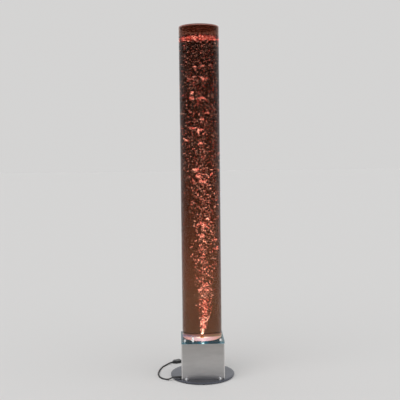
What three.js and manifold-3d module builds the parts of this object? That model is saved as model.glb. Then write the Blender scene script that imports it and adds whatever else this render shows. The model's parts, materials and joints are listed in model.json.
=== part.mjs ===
// A floor-standing bubble tube: a tall clear water column with an air nozzle in its floor, on a
// folded stainless housing that holds the air pump, the lamp and the turning colour wheel.
// Millimetres, +Z up, origin on the floor under the middle of the tube, front towards -Y.

import * as THREE from "three";
import { mergeVertices } from "three/addons/utils/BufferGeometryUtils.js";
import Module from "manifold-3d";

const wasm = await Module();
wasm.setup();

// Driving sizes of the whole
const housingWidth = 216;
const housingHeight = 178;
const sheet = 2;
const plateMargin = 8;
const tubeRadius = housingWidth / 2 - plateMargin;
const tubeWall = 5;
const tubeLength = 1560;
const freeboard = 49;

// Clearances
const seatGap = 0.3;
const runningGap = 0.1;
const drillGap = 0.6;
const overrun = 1;
const weld = 0.0001;

// Facets of round things
const wideSides = 48;
const midSides = 20;
const smallSides = 10;
const cornerSteps = 3;

// Base disc and its pads
const discMargin = 18;
const discThickness = 8;
const discEdge = 1;
const padHeight = 3;
const padRadius = 12;
const padEdge = 0.8;
const padInset = 15;
const padCount = 4;

// Housing shell
const bendRadius = 4;
const lugWidth = 26;
const lugReach = 18;
const lugInset = 24;
const lugScrewReach = 9;
const rearWindowInset = 33;
const rearWindowSill = 28;
const rearWindowDrop = 22;

// Rear panel, its louvres and screws
const panelMargin = 9;
const louvreMargin = 14;
const louvreSplit = 14;
const louvreSlot = 3;
const louvreReach = 4;
const louvreRise = 7;
const louvrePitch = 10;
const louvreRows = 5;
const louvreColumns = 2;
const louvreDrop = 24;
const rearScrewRadius = 2;
const rearScrewLength = 8;
const rearScrewHeadRadius = 4;
const rearScrewHeadHeight = 2.4;
const rearScrewInset = 5;

// Deck, corner posts and cap screws
const deckThickness = 3;
const lightMargin = 25;
const postInset = 19;
const postRadius = 8;
const screwRadius = 4;
const screwHeadRadius = 6.5;
const screwHeadHeight = 8;
const screwEdge = 0.6;
const hexKeyRadius = 3.5;
const hexKeyDepth = 4;
const plateScrewReach = 14;
const discThreadDepth = 5;
const boreRest = 2;

// Flange plate and tube seat
const plateThickness = 10;
const grooveDepth = 3;

// Lid
const lidThickness = 4;
const lidStep = 4;
const lidPlay = 0.8;
const ventRadius = 5;

// Air nozzle, its nut and its elbow
const stemRadius = 5;
const stemReach = 16;
const nozzleBore = 1.5;
const nozzleHeadRadius = 8;
const nozzleHeadHeight = 4;
const nozzleTipRadius = 2.6;
const nozzleHeight = 13;
const nutRadius = 9;
const nutHeight = 6;
const elbowRadius = 8;
const elbowHeight = 16;
const elbowSocket = 6;
const elbowArmRadius = 4.4;
const elbowArmReach = 20;
const elbowArmRise = 5.5;

// Hoses and barbs
const hoseRadius = 4;
const hoseBore = 2.5;
const barbLength = 8;
const hoseSides = 10;
const hoseRun = 15;

// Check valve
const valveRadius = 7;
const valveBody = 16;
const valveEdge = 2;

// Lamp bracket, lamp and holder
const bracketWidth = 64;
const bracketFront = 60;
const bracketRear = 48;
const bracketDrop = 52;
const bracketFoot = 12;
const bracketStrip = 16;
const bracketBrow = 18;
const lampOffset = 30;
const lampRadius = 25.4;
const lampRim = 4;
const lampLength = 45;
const lampBowl = 23.6;
const lampShoulderShare = 0.82;
const lampThroat = 11;
const lampNeckRadius = 9;
const lampNeckLength = 11;
const lampGlassInset = 1.2;
const holderWidth = 26;
const holderDepth = 20;
const holderHeight = 12;
const holderCorner = 3;

// Colour wheel and its motor
const wheelOffset = 22;
const wheelMargin = 28;
const wheelRim = 4;
const wheelThickness = 2;
const wheelLip = 2.6;
const wheelLipWidth = 1.4;
const wheelLedge = 2.5;
const wheelHubRadius = 10;
const wheelHubHeight = 8;
const wheelRise = 3;
const spokeWidth = 7;
const filterThickness = 1.2;
const filterSplit = 1.6;
const filterInnerRadius = 7;
const wheelSteps = 5;
const motorRadius = 24;
const motorHeight = 21;
const motorEdge = 1.5;
const motorBossRadius = 7;
const motorBossHeight = 4;
const shaftRadius = 2.5;
const shaftSocket = 18;
const shaftCapRadius = 14;
const shaftCapHeight = 1.6;

// Air pump
const pumpInset = 4;
const pumpFront = -52;
const pumpLength = 112;
const pumpWidth = 44;
const pumpFloor = 4;
const pumpKerb = 8;
const pumpWall = 2.5;
const pumpCorner = 6;
const chamberLength = 24;
const chamberHeight = 36;
const chamberInset = 5;
const outletOffset = 14;
const pivotRise = 5;
const pivotRadius = 2;
const pivotEarWidth = 4;
const pivotEarDepth = 9;
const pivotSpan = 18;
const bellowsRadius = 13;
const bellowsNeck = 10;
const bellowsWall = 1.5;
const bellowsPitch = 7;
const bellowsFolds = 2;
const armatureThickness = 3;
const armatureWidth = 12;
const armatureHeight = 42;
const pushRadius = 3;
const pushReach = 3;
const pushPlay = 0.9;
const magnetWidth = 24;
const magnetHeight = 12;
const magnetDepth = 8;
const magnetGap = 2.4;
const coreWidth = 40;
const coreHeight = 12;
const coreLength = 40;
const coreBar = 8;
const coreLimb = 8;
const coilWall = 7;
const coilFlange = 2;
const coilSpan = 24;

// Transformer and its clamp
const transformerRadius = 38;
const transformerHole = 14;
const transformerHeight = 28;
const transformerRound = 8;
const transformerOffset = -4;
const clampRadius = 26;
const clampThickness = 1.5;
const clampDish = 3;

// Terminal block
const terminalInset = 24;
const terminalFront = -52;
const terminalWidth = 20;
const terminalHeight = 16;
const terminalStep = 6;
const terminalPitch = 10;
const terminalWays = 6;
const terminalSlot = 1.5;
const terminalWell = 1.5;
const wellSides = 6;

// Mains switch
const switchInset = 19;
const switchRise = 50;
const switchWidth = 27;
const switchHeight = 19;
const switchDepth = 20;
const bezelMargin = 2.5;
const bezelThickness = 2;
const rockerWidth = 18;
const rockerHeight = 12;
const rockerDepth = 7;
const rockerRise = 3;
const rockerTilt = 8;
const rockerPlay = 1.4;

// Drain valve
const drainInset = 10;
const drainSideShare = 0.49;
const drainPortRadius = 3.3;
const drainPortDepth = 8;
const drainPassageRadius = 2;
const drainInletRadius = 3;
const drainInletInset = 11;
const drainBodyRadius = 4.6;
const drainBodyHeight = 12;
const drainFlangeRadius = 6;
const drainFlangeHeight = 2;
const drainSpoutRadius = 2.2;
const drainSpoutReach = 11;
const drainSpoutRise = 7;
const drainStemRadius = 2;
const drainStemDepth = 7;
const drainKnobRadius = 5.6;
const drainKnobHeight = 10;
const drainKnobGrooves = 10;
const drainKnobGroove = 1;

// Mains lead
const leadY = -85;
const leadRadius = 3.5;
const leadSides = 10;
const leadStep = 16;
const bootNeckRadius = 5;
const bootFlangeRadius = 6.2;
const bootFlange = 3;
const bootLip = 2;
const bootLength = 30;
const bootRootRadius = 5.8;
const bootTipRadius = 4.4;
const bootGroove = 0.8;
const bootGrooves = 4;
const bootGrooveShares = [0, 0.5, 0.57, 0.93];
const plugLength = 38;
const plugWidth = 34;
const plugHeight = 14;
const plugNose = 10;
const plugNoseWidth = 12;
const plugEdge = 2;
const pinRadius = 2;
const pinLength = 19;
const pinSpacing = 19;

// Levels, from the floor up
const discBottom = padHeight + seatGap;
const discTop = discBottom + discThickness;
const floorLevel = discTop + seatGap;
const housingTop = floorLevel + housingHeight;
const rearWindowHeight = housingHeight - rearWindowSill - rearWindowDrop;
const deckBottom = housingTop - deckThickness;
const plateBottom = housingTop + seatGap;
const plateTop = plateBottom + plateThickness;
const tubeBottom = plateTop - grooveDepth + seatGap;
const tubeTop = tubeBottom + tubeLength;
const waterBottom = plateTop + seatGap;
const waterLevel = tubeTop - freeboard;
const bracketHeight = housingHeight - bracketDrop;
const bracketTop = floorLevel + bracketHeight;
const motorTop = bracketTop - sheet - seatGap;
const motorBossTop = bracketTop + motorBossHeight;
const wheelHubBottom = motorBossTop + wheelRise;
const wheelBottom = wheelHubBottom + wheelHubHeight;
const wheelTop = wheelBottom + wheelThickness;
const filterBottom = wheelTop + seatGap;
const filterTop = filterBottom + filterThickness;

// Places across, from the middle outwards
const housingHalf = housingWidth / 2;
const innerHalf = housingHalf - sheet;
const postHalf = housingHalf - postInset;
const lugHalf = housingHalf - lugInset;
const lugScrewY = housingHalf + lugScrewReach;
const discRadius = Math.hypot(lugHalf, lugScrewY) + discMargin;
const boreRadius = tubeRadius - tubeWall;
const lightRadius = tubeRadius - lightMargin;
const barbRadius = hoseBore - seatGap;
const rearWindowWidth = housingWidth - 2 * rearWindowInset;
const louvreLength = (rearWindowWidth - 2 * louvreMargin - louvreSplit) / louvreColumns;
const switchOffset = rearWindowWidth / 2 - switchInset;
const wheelRadius = innerHalf - wheelMargin;
const pumpOffset = innerHalf - pumpInset - pumpWidth / 2;
const terminalOffset = innerHalf - terminalInset;
const drainX = -drainSideShare * tubeRadius;
const drainY = drainInset - housingHalf;
const drainInletReach = boreRadius - drainInletInset;

const materials = {
  acrylic: { color: 0xdfe8ea, roughness: 0.05, metalness: 0, transparent: true, opacity: 0.3 },
  water: { color: 0x8a4a38, roughness: 0.02, metalness: 0, transparent: true, opacity: 0.6 },
  brushed: { color: 0xb4b2b0, roughness: 0.4, metalness: 1 },
  polished: { color: 0x8b8d96, roughness: 0.12, metalness: 1 },
  steel: { color: 0xd0d2d6, roughness: 0.15, metalness: 1 },
  brass: { color: 0xc9a24a, roughness: 0.3, metalness: 1 },
  rubber: { color: 0x151515, roughness: 0.85, metalness: 0 },
  silicone: { color: 0xd8d8d2, roughness: 0.4, metalness: 0, transparent: true, opacity: 0.6 },
  grey: { color: 0x55585c, roughness: 0.5, metalness: 0 },
  black: { color: 0x18181a, roughness: 0.4, metalness: 0 },
  white: { color: 0xdedcd6, roughness: 0.5, metalness: 0 },
  tin: { color: 0xa8a9ad, roughness: 0.35, metalness: 1 },
  copper: { color: 0xa85a2c, roughness: 0.4, metalness: 1 },
  core: { color: 0x5c5f66, roughness: 0.5, metalness: 0.8 },
  mirror: { color: 0xcfd3dc, roughness: 0.08, metalness: 1 },
  tape: { color: 0xd2b84a, roughness: 0.45, metalness: 0 },
  red: { color: 0xe0301c, roughness: 0.1, metalness: 0, transparent: true, opacity: 0.6 },
  green: { color: 0x2fae4e, roughness: 0.1, metalness: 0, transparent: true, opacity: 0.6 },
  blue: { color: 0x2450d8, roughness: 0.1, metalness: 0, transparent: true, opacity: 0.6 },
  yellow: { color: 0xf0c81e, roughness: 0.1, metalness: 0, transparent: true, opacity: 0.6 },
};

const bubbleTube = new THREE.Group();

// Adds one piece, with a material of its own, at a place in its parent.
function place(name, geometry, finish, x = 0, y = 0, z = 0, parent = bubbleTube) {
  const mesh = new THREE.Mesh(geometry, new THREE.MeshStandardMaterial(materials[finish]));
  mesh.name = name;
  mesh.position.set(x, y, z);
  parent.add(mesh);
  return mesh;
}

// Solids and cuts

function solidOf(geometry) {
  const bare = geometry.index ? geometry.toNonIndexed() : geometry.clone();
  bare.deleteAttribute("normal");
  bare.deleteAttribute("uv");
  const merged = mergeVertices(bare, weld);
  const vertProperties = merged.attributes.position.array;
  const triVerts = new Uint32Array(merged.index.array);
  return new wasm.Manifold(new wasm.Mesh({ numProp: 3, vertProperties, triVerts }));
}

function geometryOf(solid) {
  const mesh = solid.getMesh();
  const geometry = new THREE.BufferGeometry();
  geometry.setAttribute("position", new THREE.BufferAttribute(mesh.vertProperties, 3));
  geometry.setIndex(new THREE.BufferAttribute(mesh.triVerts, 1));
  geometry.computeVertexNormals();
  return geometry;
}

function combine(geometry, { add = [], cut = [] }) {
  let solid = solidOf(geometry);
  for (const extra of add) solid = solid.add(solidOf(extra));
  for (const tool of cut) solid = solid.subtract(solidOf(tool));
  return geometryOf(solid);
}

// Turned about Z from pairs of radius and height.
function turned(profile, sides) {
  const points = profile.map(([radius, height]) => new THREE.Vector2(radius, height));
  return new THREE.LatheGeometry(points, sides).rotateX(Math.PI / 2);
}

function ring(inner, outer, bottom, top, sides) {
  return turned([[inner, bottom], [outer, bottom], [outer, top], [inner, top], [inner, bottom]], sides);
}

function drum(radius, bottom, top, sides = smallSides) {
  return turned([[0, bottom], [radius, bottom], [radius, top], [0, top]], sides);
}

function block(width, depth, height, x = 0, y = 0, bottom = 0) {
  return new THREE.BoxGeometry(width, depth, height).translate(x, y, bottom + height / 2);
}

// A rectangle round its own middle with rounded corners.
function roundedOutline(width, depth, radius, Outline = THREE.Shape) {
  const x = width / 2;
  const y = depth / 2;
  const outline = new Outline();
  outline.moveTo(radius - x, -y);
  outline.lineTo(x - radius, -y);
  outline.absarc(x - radius, radius - y, radius, -Math.PI / 2, 0);
  outline.lineTo(x, y - radius);
  outline.absarc(x - radius, y - radius, radius, 0, Math.PI / 2);
  outline.lineTo(radius - x, y);
  outline.absarc(radius - x, y - radius, radius, Math.PI / 2, Math.PI);
  outline.lineTo(-x, radius - y);
  outline.absarc(radius - x, radius - y, radius, Math.PI, 1.5 * Math.PI);
  return outline;
}

function extruded(shape, height, bottom = 0, curveSegments = cornerSteps) {
  const geometry = new THREE.ExtrudeGeometry(shape, { depth: height, bevelEnabled: false, curveSegments });
  return geometry.translate(0, 0, bottom);
}

function hexagon(radius) {
  const shape = new THREE.Shape();
  for (let corner = 0; corner < 6; corner += 1) {
    const angle = (corner * Math.PI) / 3;
    const point = [radius * Math.cos(angle), radius * Math.sin(angle)];
    if (corner === 0) shape.moveTo(...point);
    else shape.lineTo(...point);
  }
  return shape;
}

function cornersOf(halfX, halfY) {
  return [[halfX, halfY], [-halfX, halfY], [-halfX, -halfY], [halfX, -halfY]];
}

// A socket cap screw whose head stands on height 0 and whose shank goes down.
function capScrew(shankLength) {
  const body = turned(
    [
      [0, -shankLength],
      [screwRadius - screwEdge, -shankLength],
      [screwRadius, screwEdge - shankLength],
      [screwRadius, 0],
      [screwHeadRadius, 0],
      [screwHeadRadius, screwHeadHeight - screwEdge],
      [screwHeadRadius - screwEdge, screwHeadHeight],
      [0, screwHeadHeight],
    ],
    smallSides,
  );
  const socket = extruded(hexagon(hexKeyRadius), hexKeyDepth + overrun, screwHeadHeight - hexKeyDepth);
  return combine(body, { cut: [socket] });
}

// Base disc

function makeBase() {
  const disc = turned(
    [
      [0, 0],
      [discRadius - discEdge, 0],
      [discRadius, discEdge],
      [discRadius, discThickness - discEdge],
      [discRadius - discEdge, discThickness],
      [0, discThickness],
    ],
    wideSides,
  );
  const threadRadius = screwRadius + seatGap;
  const threadBottom = discThickness - discThreadDepth - drillGap;
  const thread = () => drum(threadRadius, threadBottom, discThickness + overrun);
  const posts = cornersOf(postHalf, postHalf).map(([x, y]) => thread().translate(x, y, 0));
  const lugs = cornersOf(lugHalf, lugScrewY).map(([x, y]) => thread().translate(x, y, 0));
  const clamp = thread().translate(0, transformerOffset, 0);
  place("base_disc", combine(disc, { cut: [...posts, ...lugs, clamp] }), "polished", 0, 0, discBottom);

  const padReach = discRadius - padInset;
  for (let pad = 0; pad < padCount; pad += 1) {
    const angle = (pad * 2 * Math.PI) / padCount;
    const shape = turned(
      [[0, 0], [padRadius - padEdge, 0], [padRadius, padEdge], [padRadius, padHeight], [0, padHeight]],
      smallSides,
    );
    place(`foot_pad_${pad + 1}`, shape, "rubber", padReach * Math.cos(angle), padReach * Math.sin(angle));
  }
}

// Housing shell, rear panel and deck

function lug() {
  const reach = lugReach - lugWidth / 2 + sheet;
  const shape = new THREE.Shape();
  shape.moveTo(-lugWidth / 2, 0);
  shape.lineTo(lugWidth / 2, 0);
  shape.lineTo(lugWidth / 2, reach);
  shape.absarc(0, reach, lugWidth / 2, 0, Math.PI);
  return extruded(shape, sheet);
}

function makeHousing() {
  const outline = roundedOutline(housingWidth, housingWidth, bendRadius);
  outline.holes.push(roundedOutline(2 * innerHalf, 2 * innerHalf, bendRadius - sheet, THREE.Path));
  const lugs = [];
  const holes = [];
  for (const [x, y] of cornersOf(lugHalf, innerHalf)) {
    const facing = y < 0 ? Math.PI : 0;
    lugs.push(lug().rotateZ(facing).translate(x, y, 0));
    const hole = drum(screwRadius + seatGap, -overrun, sheet + overrun);
    holes.push(hole.translate(x, Math.sign(y) * lugScrewY, 0));
  }
  const window = block(rearWindowWidth, 2 * sheet, rearWindowHeight, 0, housingHalf, rearWindowSill);
  for (const [x, z] of rearScrewPlaces()) {
    const hole = drum(rearScrewRadius + seatGap, -2 * sheet, 2 * sheet, midSides / 2);
    holes.push(hole.rotateX(Math.PI / 2).translate(x, housingHalf, z));
  }
  const leadHole = drum(bootNeckRadius + seatGap, -2 * sheet, 2 * sheet).rotateY(Math.PI / 2);
  holes.push(leadHole.translate(-housingHalf, leadY, bootLevel() - floorLevel));
  const shell = combine(extruded(outline, housingHeight), { add: lugs, cut: [window, ...holes] });
  place("housing_shell", shell, "brushed", 0, 0, floorLevel);
}

function bootLevel() {
  return floorLevel + bootFlangeRadius;
}

// Heights of the rear screws are measured from the bottom of the shell.
function rearScrewPlaces() {
  const halfX = rearWindowWidth / 2 + rearScrewInset;
  const halfZ = rearWindowHeight / 2 + rearScrewInset;
  const middle = rearWindowSill + rearWindowHeight / 2;
  return cornersOf(halfX, halfZ).map(([x, z]) => [x, middle + z]);
}

// A hood that stands out of the panel and opens downwards: flat side at y 0, out towards +Y.
function louvreHood(inset) {
  const shape = new THREE.Shape();
  shape.moveTo(-sheet, inset === 0 ? 0 : -overrun);
  shape.lineTo(louvreReach - inset, inset === 0 ? 0 : -overrun);
  shape.quadraticCurveTo(louvreReach - inset, louvreRise - inset, 0, louvreRise - inset);
  shape.lineTo(-sheet, louvreRise - inset);
  const length = louvreLength - 2 * inset;
  const prism = extruded(shape, length, -length / 2);
  return prism.rotateX(Math.PI / 2).rotateZ(Math.PI / 2);
}

function makeRearPanel() {
  const width = rearWindowWidth + 2 * panelMargin;
  const height = rearWindowHeight + 2 * panelMargin;
  const outline = roundedOutline(width, height, bendRadius);
  const panel = extruded(outline, sheet).rotateX(Math.PI / 2).translate(0, sheet, 0);
  const hoods = [];
  const cuts = [];
  for (let row = 0; row < louvreRows; row += 1) {
    for (let column = 0; column < louvreColumns; column += 1) {
      const x = (column - (louvreColumns - 1) / 2) * (louvreLength + louvreSplit);
      const z = height / 2 - louvreDrop - row * louvrePitch;
      hoods.push(louvreHood(0).translate(x, sheet, z));
      const slot = block(louvreLength - sheet, 2 * sheet + overrun, louvreSlot, x, 0, z + louvreSlot / 2);
      cuts.push(louvreHood(sheet / 2).translate(x, sheet, z), slot);
    }
  }
  for (const [x, z] of rearScrewPlaces()) {
    const hole = drum(rearScrewRadius + seatGap, -2 * sheet, 2 * sheet).rotateX(Math.PI / 2);
    cuts.push(hole.translate(x, 0, z - rearWindowSill - rearWindowHeight / 2));
  }
  const switchZ = switchRise - rearWindowSill - rearWindowHeight / 2;
  const opening = block(
    switchWidth + 2 * seatGap,
    4 * sheet,
    switchHeight + 2 * seatGap,
    switchOffset,
    0,
    switchZ - switchHeight / 2 - seatGap,
  );
  cuts.push(opening);
  const middle = floorLevel + rearWindowSill + rearWindowHeight / 2;
  const panelBack = housingHalf + seatGap;
  place("rear_panel", combine(panel, { add: hoods, cut: cuts }), "brushed", 0, panelBack, middle);

  rearScrewPlaces().forEach(([x, z], index) => {
    const screw = turned(
      [
        [0, -rearScrewLength],
        [rearScrewRadius, -rearScrewLength],
        [rearScrewRadius, 0],
        [rearScrewHeadRadius, 0],
        [rearScrewHeadRadius, rearScrewHeadHeight / 2],
        [rearScrewHeadRadius / 2, rearScrewHeadHeight],
        [0, rearScrewHeadHeight],
      ],
      smallSides,
    ).rotateX(-Math.PI / 2);
    place(`rear_screw_${index + 1}`, screw, "steel", x, panelBack + sheet + seatGap, floorLevel + z);
  });
}

function makeDeck() {
  const width = 2 * (innerHalf - seatGap);
  const plate = extruded(roundedOutline(width, width, bendRadius - sheet), deckThickness);
  const light = drum(lightRadius, -overrun, deckThickness + overrun, wideSides);
  const holes = cornersOf(postHalf, postHalf).map(([x, y]) =>
    drum(screwRadius + seatGap, -overrun, deckThickness + overrun).translate(x, y, 0),
  );
  place("deck_plate", combine(plate, { cut: [light, ...holes] }), "brushed", 0, 0, deckBottom);

  const screwLength = plateThickness + seatGap + deckThickness + plateScrewReach;
  const postTop = deckBottom - seatGap - discTop;
  const boreBottom = postTop - plateScrewReach - boreRest;
  cornersOf(postHalf, postHalf).forEach(([x, y], index) => {
    const post = turned(
      [
        [0, -discThreadDepth],
        [screwRadius, -discThreadDepth],
        [screwRadius, seatGap],
        [postRadius - screwEdge, seatGap],
        [postRadius, seatGap + screwEdge],
        [postRadius, postTop - screwEdge],
        [postRadius - screwEdge, postTop],
        [screwRadius + seatGap, postTop],
        [screwRadius + seatGap, boreBottom],
        [0, boreBottom],
      ],
      smallSides,
    );
    place(`corner_post_${index + 1}`, post, "steel", x, y, discTop);
    place(`plate_screw_${index + 1}`, capScrew(screwLength), "steel", x, y, plateTop + seatGap);
  });

  const footLength = sheet + seatGap + discThreadDepth;
  cornersOf(lugHalf, lugScrewY).forEach(([x, y], index) => {
    place(`foot_screw_${index + 1}`, capScrew(footLength), "steel", x, y, floorLevel + sheet + seatGap);
  });
}

// Flange plate, tube, water and lid

function makeColumn() {
  const plate = extruded(roundedOutline(housingWidth, housingWidth, bendRadius), plateThickness);
  const grooveBottom = plateThickness - grooveDepth;
  const cuts = [
    ring(boreRadius - seatGap, tubeRadius + seatGap, grooveBottom, plateThickness + overrun, wideSides),
    drum(stemRadius + seatGap, -overrun, plateThickness + overrun, midSides),
  ];
  for (const [x, y] of cornersOf(postHalf, postHalf)) {
    cuts.push(drum(screwRadius + seatGap, -overrun, plateThickness + overrun).translate(x, y, 0));
  }
  const drainReach = Math.hypot(drainX, drainY);
  const passageLevel = grooveBottom / 2;
  const passage = drum(drainPassageRadius, drainInletReach, drainReach, midSides / 2);
  passage.rotateY(Math.PI / 2).rotateZ(Math.atan2(drainY, drainX)).translate(0, 0, passageLevel);
  const inletShare = drainInletReach / drainReach;
  const inlet = drum(drainInletRadius, passageLevel - drainPassageRadius, plateThickness + overrun);
  const port = drum(drainPortRadius, plateThickness - drainPortDepth, plateThickness + overrun);
  cuts.push(
    passage,
    inlet.translate(drainX * inletShare, drainY * inletShare, 0),
    port.translate(drainX, drainY, 0),
  );
  place("flange_plate", combine(plate, { cut: cuts }), "acrylic", 0, 0, plateBottom);

  place("tube", ring(boreRadius, tubeRadius, 0, tubeLength, wideSides), "acrylic", 0, 0, tubeBottom);

  const pocketRadius = nozzleHeadRadius + seatGap;
  const pocketTop = nozzleHeight + seatGap;
  const water = turned(
    [
      [0, pocketTop],
      [pocketRadius, pocketTop],
      [pocketRadius, 0],
      [boreRadius - seatGap, 0],
      [boreRadius - seatGap, waterLevel - waterBottom],
      [0, waterLevel - waterBottom],
    ],
    wideSides,
  );
  place("water", water, "water", 0, 0, waterBottom);

  const stepRadius = boreRadius - lidPlay;
  const lid = turned(
    [
      [ventRadius, -lidStep - seatGap],
      [stepRadius, -lidStep - seatGap],
      [stepRadius, 0],
      [tubeRadius, 0],
      [tubeRadius, lidThickness],
      [ventRadius, lidThickness],
      [ventRadius, -lidStep - seatGap],
    ],
    wideSides,
  );
  place("lid", lid, "acrylic", 0, 0, tubeTop + seatGap);
}

// Air nozzle and its fittings

function makeNozzle() {
  const nozzle = turned(
    [
      [nozzleBore, -plateThickness - stemReach],
      [stemRadius, -plateThickness - stemReach],
      [stemRadius, seatGap],
      [nozzleHeadRadius, seatGap],
      [nozzleHeadRadius, nozzleHeadHeight],
      [(nozzleHeadRadius + nozzleTipRadius) / 2, nozzleHeadHeight + nozzleTipRadius],
      [nozzleTipRadius, nozzleHeight - nozzleBore],
      [nozzleTipRadius, nozzleHeight],
      [nozzleBore, nozzleHeight],
      [nozzleBore, -plateThickness - stemReach],
    ],
    midSides,
  );
  place("air_nozzle", nozzle, "brass", 0, 0, plateTop);

  const nut = combine(extruded(hexagon(nutRadius), nutHeight), {
    cut: [drum(stemRadius + seatGap, -overrun, nutHeight + overrun, midSides)],
  });
  place("nozzle_nut", nut, "brass", 0, 0, plateBottom - seatGap - nutHeight);

  const stemEnd = plateBottom - stemReach;
  const elbowBottom = stemEnd + elbowSocket - seatGap - elbowHeight;
  const arm = drum(elbowArmRadius, 0, elbowArmReach).rotateY(-Math.PI / 2).translate(0, 0, elbowArmRise);
  const barb = drum(barbRadius, 0, elbowArmReach + barbLength).rotateY(-Math.PI / 2);
  const run = drum(nozzleBore / 2, 0, elbowArmReach + 2 * barbLength).rotateY(-Math.PI / 2);
  const elbow = combine(drum(elbowRadius, 0, elbowHeight, midSides), {
    add: [arm, barb.translate(0, 0, elbowArmRise)],
    cut: [
      drum(stemRadius + seatGap, elbowHeight - elbowSocket, elbowHeight + overrun, midSides),
      drum(nozzleBore, elbowArmRise, elbowHeight),
      run.translate(0, 0, elbowArmRise),
    ],
  });
  place("air_elbow", elbow, "brass", 0, 0, elbowBottom);
  return elbowBottom + elbowArmRise;
}

// Air line: hoses that push over barbs, and the check valve

const outletX = -pumpOffset - outletOffset;
const outletY = pumpFront + pumpLength - chamberInset - chamberLength / 2;
const chamberTop = floorLevel + pumpFloor + chamberHeight;
const lowerHoseBottom = chamberTop + seatGap;
const lowerHoseTop = lowerHoseBottom + 2 * barbLength + hoseBore;
const valveBottom = lowerHoseTop + seatGap;
const upperHoseEnd = valveBottom + valveBody + seatGap;

function hose(points) {
  const section = new THREE.Shape().absarc(0, 0, hoseRadius, 0, 2 * Math.PI);
  section.holes.push(new THREE.Path().absarc(0, 0, hoseBore, 0, 2 * Math.PI, true));
  const extrudePath = new THREE.CatmullRomCurve3(points.map((point) => new THREE.Vector3(...point)));
  const steps = Math.round(extrudePath.getLength() / hoseRadius / 3);
  return new THREE.ExtrudeGeometry(section, { steps, curveSegments: hoseSides / 2, extrudePath });
}

function makeAirLine(elbowLevel) {
  const start = -elbowArmReach - seatGap;
  const upper = hose([
    [start, 0, elbowLevel],
    [start - barbLength, 0, elbowLevel],
    [start - barbLength - hoseRun, 0, elbowLevel],
    [outletX + 2 * hoseRun, outletY / 3, elbowLevel],
    [outletX + hoseRun / 2, outletY - hoseRun, elbowLevel - hoseRadius],
    [outletX, outletY, elbowLevel - 2 * hoseRun],
    [outletX, outletY, upperHoseEnd + barbLength],
    [outletX, outletY, upperHoseEnd],
  ]);
  place("upper_hose", upper, "silicone");

  const lower = ring(hoseBore, hoseRadius, lowerHoseBottom, lowerHoseTop, smallSides);
  place("lower_hose", lower, "silicone", outletX, outletY);

  const valve = turned(
    [
      [nozzleBore / 2, -barbLength],
      [barbRadius, -barbLength],
      [barbRadius, 0],
      [valveRadius - valveEdge, 0],
      [valveRadius, valveEdge],
      [valveRadius, valveBody - valveEdge],
      [valveRadius - valveEdge, valveBody],
      [barbRadius, valveBody],
      [barbRadius, valveBody + barbLength],
      [nozzleBore / 2, valveBody + barbLength],
      [nozzleBore / 2, -barbLength],
    ],
    smallSides,
  );
  place("check_valve", valve, "white", outletX, outletY, valveBottom);
}

// Air pump: a coil shakes a magnet on a pivoted arm, and the arm works a rubber bellows

const pivotY = pumpFront + pumpLength - chamberInset - chamberLength - bellowsFolds * bellowsPitch
  - pushPlay - pushReach - armatureThickness / 2;
const pivotLevel = floorLevel + pumpFloor + pivotRise;
const pushLevel = floorLevel + pumpFloor + chamberHeight / 2;
const magnetLevel = floorLevel + pumpFloor + pivotRise + armatureHeight - magnetHeight;

function makePump() {
  const middle = pumpFront + pumpLength / 2;
  const tray = extruded(roundedOutline(pumpWidth, pumpLength, pumpCorner), pumpKerb);
  const hollow = extruded(
    roundedOutline(pumpWidth - 2 * pumpWall, pumpLength - 2 * pumpWall, pumpCorner - pumpWall),
    pumpKerb,
    pumpFloor,
  );
  const earHeight = pumpFloor + pivotRise + 2 * pivotRadius;
  const ears = [-1, 1].map((side) => {
    const x = (side * (pivotSpan - pivotEarWidth)) / 2;
    return block(pivotEarWidth, pivotEarDepth, earHeight, x, pivotY - middle);
  });
  const pin = drum(pivotRadius, -pivotSpan / 2, pivotSpan / 2, midSides).rotateY(Math.PI / 2);
  pin.translate(0, pivotY - middle, pumpFloor + pivotRise);
  const coreBack = pivotY - armatureThickness / 2 - magnetDepth - magnetGap - coreLength;
  const saddle = block(
    coreWidth,
    coreBar - 2 * seatGap,
    magnetLevel - floorLevel - seatGap,
    0,
    coreBack + coreBar / 2 - middle,
  );
  const base = combine(combine(tray, { cut: [hollow] }), { add: [...ears, pin, saddle] });
  place("pump_base", base, "grey", -pumpOffset, middle, floorLevel);

  const chamberWidth = pumpWidth - 2 * pumpWall - 2 * seatGap;
  const chamberY = outletY;
  const chamber = block(chamberWidth, chamberLength, chamberHeight - 2 * seatGap, 0, 0, seatGap);
  const middleLevel = chamberHeight / 2;
  const outlet = drum(barbRadius, middleLevel, chamberHeight + barbLength).translate(-outletOffset, 0, 0);
  const riser = drum(nozzleBore, middleLevel, chamberHeight + 2 * barbLength).translate(-outletOffset, 0, 0);
  const crossing = drum(nozzleBore, 0, outletOffset).rotateY(-Math.PI / 2).translate(0, 0, middleLevel);
  const inlet = drum(nozzleBore, 0, chamberLength).rotateX(Math.PI / 2).translate(0, 0, middleLevel);
  const body = combine(chamber, { add: [outlet], cut: [riser, crossing, inlet] });
  place("pump_chamber", body, "black", -pumpOffset, chamberY, floorLevel + pumpFloor);

  makeBellows(chamberY - chamberLength / 2 - seatGap);
  makeArmature();
  makeCoil(coreBack);
}

// A rubber cup with folds, open towards the chamber at height 0 and closed at its far end.
function makeBellows(mouthY) {
  const length = bellowsFolds * bellowsPitch - seatGap;
  const skin = [];
  const lining = [];
  for (let fold = 0; fold <= 2 * bellowsFolds; fold += 1) {
    const radius = fold % 2 === 0 ? bellowsNeck : bellowsRadius;
    const height = (fold * length) / (2 * bellowsFolds);
    skin.push([radius, height]);
    lining.unshift([radius - bellowsWall, Math.min(height, length - bellowsWall)]);
  }
  const profile = [[0, length - bellowsWall], ...lining, ...skin, [0, length]];
  const cup = turned(profile, smallSides).rotateX(Math.PI / 2);
  place("pump_bellows", cup, "rubber", -pumpOffset, mouthY, pushLevel);
}

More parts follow.
